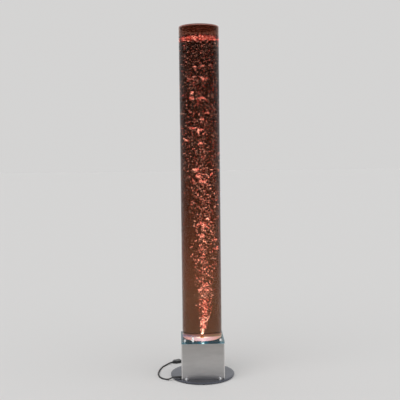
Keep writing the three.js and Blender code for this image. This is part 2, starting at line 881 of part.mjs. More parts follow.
function makeArmature() {
  const hubRadius = pivotRise - seatGap;
  const hubWidth = pivotSpan - 2 * pivotEarWidth - 2 * seatGap;
  const barWidth = armatureWidth;
  const hub = drum(hubRadius, -hubWidth / 2, hubWidth / 2).rotateY(Math.PI / 2);
  const rise = hubRadius + pivotRadius;
  const bar = block(barWidth, armatureThickness, armatureHeight - rise, 0, 0, rise);
  const stalk = block(hubWidth, armatureThickness, rise, 0, 0, pivotRadius);
  const push = drum(pushRadius, 0, armatureThickness / 2 + pushReach).rotateX(-Math.PI / 2);
  push.translate(0, 0, pushLevel - pivotLevel);
  const magnet = block(
    magnetWidth,
    magnetDepth + armatureThickness / 2,
    magnetHeight,
    0,
    -(magnetDepth + armatureThickness / 2) / 2,
    armatureHeight - magnetHeight,
  );
  const bore = drum(pivotRadius + seatGap, -hubWidth, hubWidth, midSides).rotateY(Math.PI / 2);
  const arm = combine(hub, { add: [stalk, bar, push, magnet], cut: [bore] });
  place("pump_armature", arm, "steel", -pumpOffset, pivotY, pivotLevel);
}

// A three-limbed iron core that lies flat, with the coil round its middle limb.
function makeCoil(backY) {
  const slot = (coreWidth - 3 * coreLimb) / 2;
  const slots = [-1, 1].map((side) => {
    const x = (side * (coreLimb + slot)) / 2;
    return block(slot, coreLength, coreHeight + 2 * overrun, x, coreBar + coreLength / 2, -overrun);
  });
  const bar = block(coreWidth, coreLength, coreHeight, 0, coreLength / 2);
  place("pump_core", combine(bar, { cut: slots }), "core", -pumpOffset, backY, magnetLevel);

  const opening = coreLimb + 2 * seatGap;
  const tall = coreHeight + 2 * seatGap;
  const winding = slot - seatGap;
  const wide = coreLimb + 2 * winding;
  const high = coreHeight + 2 * coilWall;
  const bobbin = new THREE.BoxGeometry(wide - coilFlange, coilSpan, high - coilFlange);
  const flanges = [-1, 1].map((side) =>
    new THREE.BoxGeometry(wide, coilFlange, high).translate(0, (side * (coilSpan - coilFlange)) / 2, 0),
  );
  const limb = new THREE.BoxGeometry(opening, coilSpan + 2 * overrun, tall);
  const coil = combine(bobbin, { add: flanges, cut: [limb] });
  const coilY = backY + coreBar + seatGap + coilSpan / 2;
  place("pump_coil", coil, "copper", -pumpOffset, coilY, magnetLevel + coreHeight / 2);
}

// Lamp under the tube's floor

function makeLamp() {
  const half = bracketWidth / 2;
  const depth = bracketFront + bracketRear;
  const profile = new THREE.Shape();
  profile.moveTo(-half + bracketFoot, 0);
  profile.lineTo(-half + bracketFoot, sheet);
  profile.lineTo(-half + sheet, sheet);
  profile.lineTo(-half + sheet, bracketHeight - sheet);
  profile.lineTo(half - sheet, bracketHeight - sheet);
  profile.lineTo(half - sheet, sheet);
  profile.lineTo(half - bracketFoot, sheet);
  profile.lineTo(half - bracketFoot, 0);
  profile.lineTo(half, 0);
  profile.lineTo(half, bracketHeight);
  profile.lineTo(-half, bracketHeight);
  profile.lineTo(-half, 0);
  const bracket = extruded(profile, depth, -depth / 2).rotateX(Math.PI / 2);
  bracket.translate(0, (bracketRear - bracketFront) / 2, 0);
  const windowDepth = depth - 2 * bracketStrip;
  const window = block(
    bracketWidth + 2 * overrun,
    windowDepth,
    bracketHeight - bracketBrow + overrun,
    0,
    (bracketRear - bracketFront) / 2,
    -overrun,
  );
  const holeBottom = bracketHeight - 2 * sheet;
  const lampHole = drum(lampBowl + drillGap, holeBottom, bracketHeight + overrun, midSides);
  const bossHole = drum(motorBossRadius + seatGap, holeBottom, bracketHeight + overrun, midSides);
  const cut = [window, lampHole.translate(0, -lampOffset, 0), bossHole.translate(0, wheelOffset, 0)];
  place("light_bracket", combine(bracket, { cut }), "brushed", 0, 0, floorLevel);

  const lamp = turned(
    [
      [0, lampRim - lampLength],
      [lampNeckRadius, lampRim - lampLength],
      [lampNeckRadius, lampRim - lampLength + lampNeckLength],
      [lampThroat, lampRim - lampLength + lampNeckLength],
      [lampBowl * lampShoulderShare, -lampLength / 3],
      [lampBowl, 0],
      [lampRadius, 0],
      [lampRadius, lampRim],
      [lampRadius - lampGlassInset, lampRim],
      [lampRadius - lampGlassInset, lampRim - lampGlassInset],
      [0, lampRim - lampGlassInset],
    ],
    midSides,
  );
  place("lamp_reflector", lamp, "mirror", 0, -lampOffset, bracketTop + seatGap);

  const holderTop = bracketTop + lampRim - lampLength;
  const holder = extruded(roundedOutline(holderWidth, holderDepth, holderCorner), holderHeight);
  place("lamp_holder", holder, "white", 0, -lampOffset, holderTop - holderHeight);
}

// Colour wheel, its filters, shaft and motor

function makeWheel() {
  const wheel = new THREE.Group();
  wheel.position.set(0, wheelOffset, 0);
  bubbleTube.add(wheel);

  const disc = new THREE.Shape().absarc(0, 0, wheelRadius, 0, 2 * Math.PI);
  const windowInner = wheelHubRadius + wheelLedge;
  const windowOuter = wheelRadius - wheelRim - wheelLedge;
  const innerHalfAngle = Math.PI / 4 - Math.asin(spokeWidth / 2 / windowInner);
  const outerHalfAngle = Math.PI / 4 - Math.asin(spokeWidth / 2 / windowOuter);
  const windows = [0, 1, 2, 3].map((quarter) => {
    const middle = (quarter * Math.PI) / 2;
    const outline = new THREE.Shape();
    outline.absarc(0, 0, windowOuter, middle - outerHalfAngle, middle + outerHalfAngle);
    outline.absarc(0, 0, windowInner, middle + innerHalfAngle, middle - innerHalfAngle, true);
    outline.closePath();
    return extruded(outline, wheelThickness + 2 * overrun, wheelHubHeight - overrun, wheelSteps);
  });
  const lip = ring(
    wheelRadius - wheelLipWidth,
    wheelRadius,
    wheelHubHeight + wheelThickness / 2,
    wheelHubHeight + wheelThickness + wheelLip,
    wideSides,
  );
  const flange = drum(wheelRadius, wheelHubHeight, wheelHubHeight + wheelThickness, wideSides);
  const hub = drum(wheelHubRadius, 0, wheelHubHeight + wheelThickness, midSides);
  const bore = drum(shaftRadius + seatGap, -overrun, wheelHubHeight + 2 * wheelThickness, midSides);
  const frame = combine(flange, { add: [lip, hub], cut: [...windows, bore] });
  place("wheel_frame", frame, "tin", 0, 0, wheelHubBottom, wheel);

  const split = filterSplit / 2;
  const paneOuter = wheelRadius - wheelLipWidth - seatGap;
  const colours = ["red", "green", "blue", "yellow"];
  colours.forEach((colour, index) => {
    const middle = (index * Math.PI) / 2 - Math.PI / 2;
    const inner = Math.PI / 4 - Math.asin(split / filterInnerRadius);
    const outer = Math.PI / 4 - Math.asin(split / paneOuter);
    const outline = new THREE.Shape();
    outline.absarc(0, 0, paneOuter, middle - outer, middle + outer);
    outline.absarc(0, 0, filterInnerRadius, middle + inner, middle - inner, true);
    outline.closePath();
    const pane = extruded(outline, filterThickness, 0, wheelSteps);
    place(`filter_${colour}`, pane, colour, 0, 0, filterBottom, wheel);
  });

  const socketBottom = motorTop - shaftSocket;
  const capBottom = filterTop + seatGap - socketBottom;
  const shaft = turned(
    [
      [0, 0],
      [shaftRadius, 0],
      [shaftRadius, capBottom],
      [shaftCapRadius, capBottom],
      [shaftCapRadius, capBottom + shaftCapHeight],
      [shaftRadius, capBottom + 2 * shaftCapHeight],
      [0, capBottom + 2 * shaftCapHeight],
    ],
    midSides,
  );
  place("wheel_shaft", shaft, "steel", 0, 0, socketBottom + seatGap, wheel);

  const bodyBottom = motorTop - motorHeight;
  const motor = turned(
    [
      [0, 0],
      [motorRadius - motorEdge, 0],
      [motorRadius, motorEdge],
      [motorRadius, motorHeight - motorEdge],
      [motorRadius - motorEdge, motorHeight],
      [motorBossRadius, motorHeight],
      [motorBossRadius, motorBossTop - bodyBottom],
      [shaftRadius + runningGap, motorBossTop - bodyBottom],
      [shaftRadius + runningGap, motorHeight - shaftSocket],
      [0, motorHeight - shaftSocket],
    ],
    midSides,
  );
  place("wheel_motor", motor, "tin", 0, 0, bodyBottom, wheel);
}

// Transformer and terminals

function makeSupply() {
  const round = transformerRound;
  const inner = transformerHole;
  const outer = transformerRadius;
  const high = transformerHeight;
  const arc = (cx, cz, start) =>
    [0, 1, 2].map((step) => {
      const angle = start + (step * Math.PI) / 4;
      return [cx + round * Math.cos(angle), cz + round * Math.sin(angle)];
    });
  const profile = [
    ...arc(inner + round, round, Math.PI),
    ...arc(outer - round, round, 1.5 * Math.PI),
    ...arc(outer - round, high - round, 0),
    ...arc(inner + round, high - round, Math.PI / 2),
  ];
  const toroid = turned([...profile, profile[0]], midSides);
  place("transformer", toroid, "tape", 0, transformerOffset, floorLevel);

  const clampLevel = floorLevel + transformerHeight + seatGap;
  const shankBottom = discTop - discThreadDepth - clampLevel;
  const clamp = turned(
    [
      [0, shankBottom],
      [screwRadius, shankBottom],
      [screwRadius, -clampDish],
      [transformerHole - clampThickness, -clampDish],
      [transformerHole + transformerRound, 0],
      [clampRadius, 0],
      [clampRadius, clampThickness],
      [transformerHole + transformerRound, clampThickness],
      [transformerHole - clampThickness, clampThickness - clampDish],
      [screwHeadRadius, clampThickness - clampDish],
      [screwHeadRadius, screwHeadHeight / 2],
      [0, screwHeadHeight / 2],
    ],
    midSides,
  );
  place("transformer_clamp", clamp, "steel", 0, transformerOffset, clampLevel);

  const length = terminalWays * terminalPitch;
  const half = terminalWidth / 2;
  const shape = new THREE.Shape();
  shape.moveTo(-half, 0);
  shape.lineTo(half, 0);
  shape.lineTo(half, terminalHeight - terminalStep);
  shape.lineTo(half - terminalStep / 2, terminalHeight - terminalStep);
  shape.lineTo(half - terminalStep, terminalHeight);
  shape.lineTo(terminalStep - half, terminalHeight);
  shape.lineTo(terminalStep / 2 - half, terminalHeight - terminalStep);
  shape.lineTo(-half, terminalHeight - terminalStep);
  const strip = extruded(shape, length).rotateX(Math.PI / 2).translate(0, length, 0);
  const cuts = [];
  for (let way = 0; way < terminalWays; way += 1) {
    const y = (way + 1 / 2) * terminalPitch;
    for (const side of [-1, 1]) {
      const x = (side * (half - terminalStep)) / 2;
      const well = drum(terminalWell, terminalHeight / 2, terminalHeight + overrun, wellSides);
      cuts.push(well.translate(x, y, 0));
    }
    if (way > 0) {
      const slotBottom = terminalHeight - terminalStep - terminalSlot;
      const slotWidth = terminalWidth + 2 * overrun;
      cuts.push(block(slotWidth, terminalSlot, terminalHeight, 0, way * terminalPitch, slotBottom));
    }
  }
  place("terminal_block", combine(strip, { cut: cuts }), "white", terminalOffset, terminalFront, floorLevel);
}

// Mains switch on the rear panel

function makeSwitch() {
  const panelFace = housingHalf + seatGap + sheet;
  const level = floorLevel + switchRise;
  const bezelWidth = switchWidth + 2 * bezelMargin;
  const bezelHeight = switchHeight + 2 * bezelMargin;
  const bezel = extruded(roundedOutline(bezelWidth, bezelHeight, bezelMargin), bezelThickness, seatGap);
  const bodyOutline = roundedOutline(switchWidth, switchHeight, bezelMargin / 2);
  const body = extruded(bodyOutline, switchDepth, overrun - switchDepth);
  const pocketDepth = rockerDepth + rockerPlay;
  const pocket = new THREE.BoxGeometry(
    rockerWidth + 2 * seatGap,
    rockerHeight + 2 * rockerPlay,
    2 * pocketDepth,
  ).translate(0, 0, bezelThickness);
  const frame = combine(body, { add: [bezel], cut: [pocket] }).rotateX(-Math.PI / 2);
  place("switch_frame", frame, "black", switchOffset, panelFace, level);

  const half = rockerHeight / 2;
  const shape = new THREE.Shape();
  shape.moveTo(-half, 0);
  shape.lineTo(0, -rockerDepth);
  shape.lineTo(half, 0);
  shape.lineTo(half, rockerRise);
  shape.quadraticCurveTo(0, rockerRise / 2, -half, rockerRise);
  const rocker = extruded(shape, rockerWidth, -rockerWidth / 2);
  rocker.rotateZ(Math.PI).rotateY(Math.PI / 2).rotateX(Math.PI / 2);
  rocker.rotateX((rockerTilt * Math.PI) / 180);
  place("switch_rocker", rocker, "grey", switchOffset, panelFace + bezelThickness / 2, level);
}

// Drain valve on the flange plate

function makeDrain() {
  const body = turned(
    [
      [0, seatGap - drainPortDepth],
      [drainPortRadius - seatGap, seatGap - drainPortDepth],
      [drainPortRadius - seatGap, seatGap],
      [drainFlangeRadius, seatGap],
      [drainFlangeRadius, drainFlangeHeight],
      [drainBodyRadius, drainFlangeHeight + screwEdge],
      [drainBodyRadius, drainBodyHeight],
      [drainStemRadius + seatGap, drainBodyHeight],
      [drainStemRadius + seatGap, drainBodyHeight - drainStemDepth - seatGap],
      [0, drainBodyHeight - drainStemDepth - seatGap],
    ],
    smallSides,
  );
  const spout = drum(drainSpoutRadius, 0, drainSpoutReach).rotateY(-Math.PI / 2);
  const spoutBore = drum(drainSpoutRadius / 2, 0, 2 * drainSpoutReach).rotateY(-Math.PI / 2);
  const stemBoreBottom = drainBodyHeight - drainStemDepth - seatGap;
  const stemBore = drum(drainStemRadius + seatGap, stemBoreBottom, drainBodyHeight + overrun);
  const valve = combine(body, {
    add: [spout.translate(0, 0, drainSpoutRise)],
    cut: [spoutBore.translate(0, 0, drainSpoutRise), stemBore],
  });
  place("drain_body", valve, "steel", drainX, drainY, plateTop);

  const grip = drum(drainKnobRadius, 0, drainKnobHeight, midSides);
  const grooves = [];
  for (let groove = 0; groove < drainKnobGrooves; groove += 1) {
    const angle = (groove * 2 * Math.PI) / drainKnobGrooves;
    const cutter = drum(drainKnobGroove, -overrun, drainKnobHeight + overrun, wellSides);
    grooves.push(cutter.translate(drainKnobRadius * Math.cos(angle), drainKnobRadius * Math.sin(angle), 0));
  }
  const stem = drum(drainStemRadius, -drainStemDepth, overrun);
  const knob = combine(grip, { add: [stem], cut: grooves });
  place("drain_knob", knob, "steel", drainX, drainY, plateTop + drainBodyHeight + seatGap);
}

// Mains lead: strain relief, cord on the floor and plug

const leadExitX = -housingHalf - seatGap - bootFlange - bootLength - seatGap;
const leadRoute = [
  [-155.4, -84.3, 15.4],
  [-174, -79, 6.6],
  [-192, -68, 3.8],
  [-208, -52, 3.8],
  [-219, -31, 3.8],
  [-225, -5, 3.8],
  [-227, 25, 3.8],
  [-224, 60, 3.8],
  [-218, 95, 3.8],
  [-208, 130, 3.8],
  [-194, 158, 3.8],
  [-179, 182, 4.4],
];
const plugX = -128;
const plugY = 215;
const plugTurn = 28;

function makeLead() {
  const grooves = [];
  for (let groove = 0; groove < bootGrooves; groove += 1) {
    const share = (groove + 1 / 2) / bootGrooves;
    const radius = bootRootRadius + (bootTipRadius - bootRootRadius) * share;
    const [start, landEnd, floorStart, floorEnd] = bootGrooveShares.map(
      (along) => bootFlange + ((groove + along) * bootLength) / bootGrooves,
    );
    grooves.push(
      [radius, start],
      [radius, landEnd],
      [radius - bootGroove, floorStart],
      [radius - bootGroove, floorEnd],
    );
  }
  const profile = [
    [0, -sheet - 2 * seatGap - bootLip],
    [bootFlangeRadius, -sheet - 2 * seatGap - bootLip],
    [bootFlangeRadius, -sheet - 2 * seatGap],
    [bootNeckRadius, -sheet - 2 * seatGap],
    [bootNeckRadius, 0],
    [bootFlangeRadius, 0],
    [bootFlangeRadius, bootFlange],
    ...grooves,
    [bootTipRadius - bootGroove / 2, bootFlange + bootLength],
    [0, bootFlange + bootLength],
  ];
  const boot = turned(profile, smallSides).rotateY(-Math.PI / 2);
  place("cord_boot", boot, "rubber", -housingHalf - seatGap, leadY, bootLevel());

  const turn = (plugTurn * Math.PI) / 180;
  const along = [Math.cos(turn), Math.sin(turn)];
  const tail = plugLength / 2 + plugNose + seatGap;
  const plugLevel = plugHeight / 2 + seatGap;
  const back = (reach) => [plugX - reach * along[0], plugY - reach * along[1], plugLevel];
  const section = new THREE.Shape().absarc(0, 0, leadRadius, 0, 2 * Math.PI);
  const points = [
    [leadExitX, leadY, bootLevel()],
    [leadExitX - 2 * leadRadius, leadY, bootLevel()],
    ...leadRoute,
    back(tail + 2 * leadRadius),
    back(tail),
  ];
  const places = points.map((point) => new THREE.Vector3(...point));
  const extrudePath = new THREE.CatmullRomCurve3(places, false, "centripetal");
  const steps = Math.round(extrudePath.getLength() / leadStep);
  const cord = new THREE.ExtrudeGeometry(section, { steps, curveSegments: leadSides / 2, extrudePath });
  place("mains_cord", cord, "rubber");

  const half = plugLength / 2;
  const outline = new THREE.Shape();
  outline.moveTo(-half - plugNose, -plugNoseWidth / 2);
  outline.quadraticCurveTo(-half, -plugNoseWidth / 2, -half + plugEdge, -plugWidth / 2);
  outline.lineTo(half - plugEdge, -plugWidth / 2);
  outline.lineTo(half, -plugWidth / 2 + plugEdge);
  outline.lineTo(half, plugWidth / 2 - plugEdge);
  outline.lineTo(half - plugEdge, plugWidth / 2);
  outline.lineTo(-half + plugEdge, plugWidth / 2);
  outline.quadraticCurveTo(-half, plugNoseWidth / 2, -half - plugNose, plugNoseWidth / 2);
  const body = new THREE.ExtrudeGeometry(outline, {
    depth: plugHeight - 2 * plugEdge,
    bevelThickness: plugEdge,
    bevelSize: plugEdge / 2,
    bevelOffset: -plugEdge / 2,
    bevelSegments: 2,
    curveSegments: cornerSteps,
  }).translate(0, 0, plugEdge - plugHeight / 2);
  const pins = [-1, 1].map((side) => {
    const pin = drum(pinRadius, half - plugEdge, half + pinLength).rotateY(Math.PI / 2);
    return pin.translate(0, (side * pinSpacing) / 2, 0);
  });
  const plug = place("mains_plug", combine(body, { add: pins }), "black", plugX, plugY, plugLevel);
  plug.rotation.z = turn;
}

makeBase();
makeHousing();
makeRearPanel();
makeDeck();
makeColumn();
makeAirLine(makeNozzle());
makePump();
makeLamp();
makeWheel();
makeSupply();
makeSwitch();
makeDrain();
makeLead();

export default bubbleTube;
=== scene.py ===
# Looks of a floor-standing bubble tube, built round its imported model.
# Metres, +Z up, front towards -Y.
import json
import math
import random

import bmesh
import bpy
from mathutils import Euler, Matrix, Vector, noise

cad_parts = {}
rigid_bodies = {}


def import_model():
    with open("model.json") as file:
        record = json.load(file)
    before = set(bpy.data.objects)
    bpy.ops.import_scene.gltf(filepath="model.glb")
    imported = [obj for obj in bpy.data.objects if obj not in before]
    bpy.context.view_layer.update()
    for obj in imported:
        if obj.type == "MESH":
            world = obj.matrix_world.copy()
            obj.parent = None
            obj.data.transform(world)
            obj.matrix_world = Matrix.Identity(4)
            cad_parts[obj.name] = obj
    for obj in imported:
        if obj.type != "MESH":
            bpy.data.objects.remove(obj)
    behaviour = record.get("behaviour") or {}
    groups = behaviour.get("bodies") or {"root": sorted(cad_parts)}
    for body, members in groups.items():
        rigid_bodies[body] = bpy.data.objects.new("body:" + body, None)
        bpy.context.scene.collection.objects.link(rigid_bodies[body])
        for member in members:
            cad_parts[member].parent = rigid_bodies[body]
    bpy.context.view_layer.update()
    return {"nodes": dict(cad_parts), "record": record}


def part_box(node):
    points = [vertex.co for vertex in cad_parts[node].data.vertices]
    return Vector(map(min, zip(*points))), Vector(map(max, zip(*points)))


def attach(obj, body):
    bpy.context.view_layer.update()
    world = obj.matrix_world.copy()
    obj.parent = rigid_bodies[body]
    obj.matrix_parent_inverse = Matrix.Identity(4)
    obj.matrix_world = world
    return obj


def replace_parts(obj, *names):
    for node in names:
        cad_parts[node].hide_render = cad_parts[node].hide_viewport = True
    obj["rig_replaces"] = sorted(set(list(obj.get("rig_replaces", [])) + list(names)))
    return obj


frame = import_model()
nodes = frame["nodes"]
record = frame["record"]
bodyOf = {node: body for body, members in record["behaviour"]["bodies"].items() for node in members}
slotOf = {part["node"]: part["material_slot"] for part in record["subparts"]}
scene = bpy.context.scene
print("frame loaded:", len(nodes), "nodes")


# Camera: the view of the photograph, slightly from the left, with a small roll

cameraView = {
    "place": (-0.115, -3.392, 1.1065),
    "lens": 60.48,
    "sensor": 36.0,
    "pitchDown": 3.49,
    "turnRight": 1.89,
    "roll": -0.66,
}


def placeCamera(view):
    data = bpy.data.cameras.new("camera")
    data.lens = view["lens"]
    data.sensor_width = view["sensor"]
    camera = bpy.data.objects.new("camera", data)
    scene.collection.objects.link(camera)
    level = Euler((math.radians(90 - view["pitchDown"]), 0, -math.radians(view["turnRight"])), "XYZ")
    turned = level.to_matrix().to_4x4() @ Matrix.Rotation(math.radians(view["roll"]), 4, "Z")
    camera.matrix_world = Matrix.Translation(view["place"]) @ turned
    scene.camera = camera


placeCamera(cameraView)


# Material helpers

sockets = {
    "colour": "Base Color",
    "metal": "Metallic",
    "rough": "Roughness",
    "ior": "IOR",
    "clear": "Transmission Weight",
    "gloss": "Specular IOR Level",
    "glossTint": "Specular Tint",
    "grain": "Anisotropic",
    "glow": "Emission Color",
    "glowStrength": "Emission Strength",
}
colourKeys = ("colour", "glow", "glossTint")


def shaderOf(made):
    return made.node_tree.nodes["Principled BSDF"]


def newMaterial(name, **values):
    made = bpy.data.materials.new(name)
    made.use_nodes = True
    for key, value in values.items():
        if key in colourKeys:
            value = (*value, 1.0)
        shaderOf(made).inputs[sockets[key]].default_value = value
    return made


def addNode(made, kind, inputs=None, **values):
    node = made.node_tree.nodes.new(kind)
    for key, value in values.items():
        setattr(node, key, value)
    for key, value in (inputs or {}).items():
        if isinstance(value, bpy.types.NodeSocket):
            made.node_tree.links.new(value, node.inputs[key])
        else:
            node.inputs[key].default_value = value
    return node


def feed(made, key, socket):
    made.node_tree.links.new(socket, shaderOf(made).inputs[sockets[key]])


def objectPlace(made, scale=(1, 1, 1)):
    texture = addNode(made, "ShaderNodeTexCoord")
    mapping = addNode(made, "ShaderNodeMapping", {"Vector": texture.outputs["Object"], "Scale": scale})
    return mapping.outputs["Vector"]


def noiseValue(made, scale, detail=3.0, stretch=(1, 1, 1), warp=0.0):
    place = objectPlace(made, stretch)
    inputs = {"Vector": place, "Scale": scale, "Detail": detail, "Distortion": warp}
    return addNode(made, "ShaderNodeTexNoise", inputs).outputs["Fac"]


# Maps a value to a colour through (position, colour) stops.
def ramp(made, value, stops):
    node = addNode(made, "ShaderNodeValToRGB", {"Fac": value})
    elements = node.color_ramp.elements
    while len(elements) < len(stops):
        elements.new(0.5)
    for element, (position, colour) in zip(elements, stops):
        element.position = position
        element.color = (*colour, 1.0)
    return node.outputs["Color"]


def spread(made, value, low, high):
    inputs = {"Value": value, "To Min": low, "To Max": high}
    return addNode(made, "ShaderNodeMapRange", inputs).outputs["Result"]


def addBump(made, height, strength, depth):
    bump = addNode(made, "ShaderNodeBump", {"Height": height, "Strength": strength, "Distance": depth})
    made.node_tree.links.new(bump.outputs["Normal"], shaderOf(made).inputs["Normal"])


def shade(colour, share):
    return tuple(part * share for part in colour)


def axes(made):
    place = addNode(made, "ShaderNodeTexCoord").outputs["Object"]
    split = addNode(made, "ShaderNodeSeparateXYZ", {"Vector": place})
    return split.outputs["X"], split.outputs["Y"], split.outputs["Z"]


def calc(made, operation, *values):
    return addNode(made, "ShaderNodeMath", dict(enumerate(values)), operation=operation).outputs[0]


def distance(made, first, second):
    squares = [calc(made, "MULTIPLY", side, side) for side in (first, second)]
    return calc(made, "SQRT", calc(made, "ADD", *squares))


# 0 at low and 1 at high, in proportion
def shareOf(made, value, low, high):
    inputs = {"Value": value, "From Min": low, "From Max": high}
    return addNode(made, "ShaderNodeMapRange", inputs).outputs["Result"]


# 0 at low and 1 at high, with a soft step between
def between(made, value, low, high):
    inputs = {"Value": value, "From Min": low, "From Max": high}
    return addNode(made, "ShaderNodeMapRange", inputs, interpolation_type="SMOOTHSTEP").outputs["Result"]


# The band is (start, end), measured inwards from the edge.
def edgeBand(made, value, edge, band):
    return between(made, value, edge - band[0], edge - band[1])


def blend(made, share, first, second, kind="MIX"):
    inputs = {"Factor": share, "A": first, "B": second}
    inputs = {key: (*value, 1.0) if isinstance(value, tuple) else value for key, value in inputs.items()}
    return addNode(made, "ShaderNodeMix", inputs, data_type="RGBA", blend_type=kind).outputs[2]


# A finish with slow colour variation, uneven gloss and a fine relief.
def surface(name, colour, look):
    made = newMaterial(name, colour=colour, **look.get("shader", {}))
    patches = noiseValue(made, look.get("patchScale", 25.0), 4.0, look.get("stretch", (1, 1, 1)))
    low, high = look.get("shadeRange", (0.85, 1.12))
    feed(made, "colour", ramp(made, patches, [(0.3, shade(colour, low)), (0.7, shade(colour, high))]))
    gloss = noiseValue(made, look.get("glossScale", 60.0), 5.0)
    feed(made, "rough", spread(made, gloss, *look["rough"]))
    if "reliefDepth" in look:
        relief = noiseValue(made, look["reliefScale"], 2.0, look.get("reliefStretch", (1, 1, 1)))
        addBump(made, relief, look.get("reliefStrength", 0.5), look["reliefDepth"])
    return made


# Finishes of the record's slots

brushedLook = {
    "shader": {"metal": 1.0, "grain": 0.45},
    "rough": (0.3, 0.4), "patchScale": 14.0, "glossScale": 40.0, "shadeRange": (0.93, 1.06),
    "stretch": (1, 1, 3), "reliefScale": 90.0, "reliefStretch": (1, 1, 60), "reliefDepth": 0.00002,
    "reliefStrength": 0.35,
}
brightLook = {"rough": (0.12, 0.24), "patchScale": 300.0, "glossScale": 500.0}
brassColour = (0.62, 0.42, 0.16)
brassLook = {
    "rough": (0.2, 0.34), "patchScale": 200.0, "reliefScale": 900.0, "reliefStretch": (1, 1, 8),
    "reliefDepth": 0.00002,
}
filterLook = {"shader": {"clear": 0.8}, "rough": (0.04, 0.1)}
filterColours = {
    "red": (0.8, 0.05, 0.03),
    "green": (0.06, 0.5, 0.12),
    "blue": (0.04, 0.1, 0.7),
    "yellow": (0.85, 0.6, 0.04),
}

finishes = {
    "brushed": surface("brushedSteel", (0.375, 0.372, 0.37), brushedLook),
    "polished": surface("darkPolishedSteel", (0.132, 0.139, 0.168), {
        "shader": {"metal": 1.0},
        "rough": (0.1, 0.22), "patchScale": 9.0, "glossScale": 24.0, "shadeRange": (0.85, 1.15),
        "reliefScale": 260.0, "reliefDepth": 0.000008, "reliefStrength": 0.3,
    }),
    # bright steel, with a faint white glow as painted light
    "steel": surface("brightSteel", (0.86, 0.87, 0.89), {
        "shader": {"metal": 1.0, "glow": (1.0, 1.0, 1.0), "glowStrength": 0.06}, **brightLook,
    }),
    # steel beside the clear plate, where the lamp's light reaches it
    "litSteel": surface("litSteel", (0.9, 0.9, 0.9), {
        "shader": {"metal": 1.0, "glow": (1.0, 0.97, 0.96), "glowStrength": 0.22}, **brightLook,
    }),
    "brass": surface("turnedBrass", brassColour, {"shader": {"metal": 1.0}, **brassLook}),
    # brass that the lamp lights from below
    "litBrass": surface("litBrass", brassColour, {
        "shader": {"metal": 1.0, "glow": (1.0, 0.62, 0.2), "glowStrength": 0.3}, **brassLook,
    }),
    "rubber": surface("blackRubber", (0.018, 0.018, 0.019), {
        "rough": (0.5, 0.68), "patchScale": 120.0, "shadeRange": (0.8, 1.4), "reliefScale": 1400.0,
        "reliefDepth": 0.00006,
    }),
    "silicone": surface("milkySilicone", (0.72, 0.72, 0.68), {
        "shader": {"clear": 0.35}, "rough": (0.25, 0.4), "patchScale": 80.0,
    }),
    "grey": surface("greyPlastic", (0.1, 0.105, 0.11), {
        "rough": (0.36, 0.5), "patchScale": 90.0, "reliefScale": 1600.0, "reliefDepth": 0.00003,
    }),
    "black": surface("blackPlastic", (0.014, 0.014, 0.015), {
        "rough": (0.28, 0.42), "patchScale": 90.0, "shadeRange": (0.8, 1.5), "reliefScale": 1800.0,
        "reliefDepth": 0.00003,
    }),
    "white": surface("whitePlastic", (0.72, 0.71, 0.68), {
        "rough": (0.34, 0.46), "patchScale": 70.0, "shadeRange": (0.94, 1.03), "reliefScale": 1500.0,
        "reliefDepth": 0.00002,
    }),
    "tin": surface("galvanisedSheet", (0.46, 0.47, 0.49), {
        "shader": {"metal": 1.0}, "rough": (0.26, 0.44), "patchScale": 130.0, "shadeRange": (0.75, 1.2),
    }),
    "copper": surface("enamelledWire", (0.42, 0.14, 0.05), {
        "shader": {"metal": 1.0}, "rough": (0.22, 0.36), "patchScale": 200.0, "reliefScale": 500.0,
        "reliefStretch": (1, 6, 1), "reliefDepth": 0.0002,
    }),
    "core": surface("laminatedIron", (0.09, 0.095, 0.105), {
        "shader": {"metal": 0.8}, "rough": (0.4, 0.55), "reliefScale": 300.0, "reliefStretch": (1, 1, 12),
        "reliefDepth": 0.0001,
    }),
    "mirror": surface("lampMirror", (0.7, 0.72, 0.76), {
        "shader": {"metal": 1.0}, "rough": (0.05, 0.12), "patchScale": 150.0,
    }),
    "tape": surface("windingTape", (0.52, 0.36, 0.06), {
        "rough": (0.3, 0.45), "patchScale": 60.0, "reliefScale": 200.0, "reliefDepth": 0.0001,
    }),
}
for slot, colour in filterColours.items():
    finishes[slot] = surface(slot + "Filter", colour, filterLook)
print("finishes made:", len(finishes))


# Mesh helpers

weld = 0.000001  # metres within which two points are one
flatAngle = 0.5  # degrees within which two faces are one
sharpAngle = 32.0  # degrees past which an edge stays sharp


def objectOf(name, mesh, *materials):
    piece = bpy.data.objects.new(name, mesh)
    scene.collection.objects.link(piece)
    for made in materials:
        mesh.materials.append(made)
    return piece


# Smooth faces with sharp edges where two faces meet at more than the angle.
def smoothMesh(mesh, angle=sharpAngle):
    shape = bmesh.new()
    shape.from_mesh(mesh)
    limit = math.radians(angle)
    for face in shape.faces:
        face.smooth = True
    for edge in shape.edges:
        edge.smooth = len(edge.link_faces) == 2 and edge.calc_face_angle(0) < limit
    shape.to_mesh(mesh)
    shape.free()


def around(reach, at, level):
    return Vector((reach * math.cos(at), reach * math.sin(at), level))


# Rings of a flat round face, from its rim to its middle
def flatRings(reach, count, level):
    return [(reach * ring / count, level) for ring in range(count, -1, -1)]


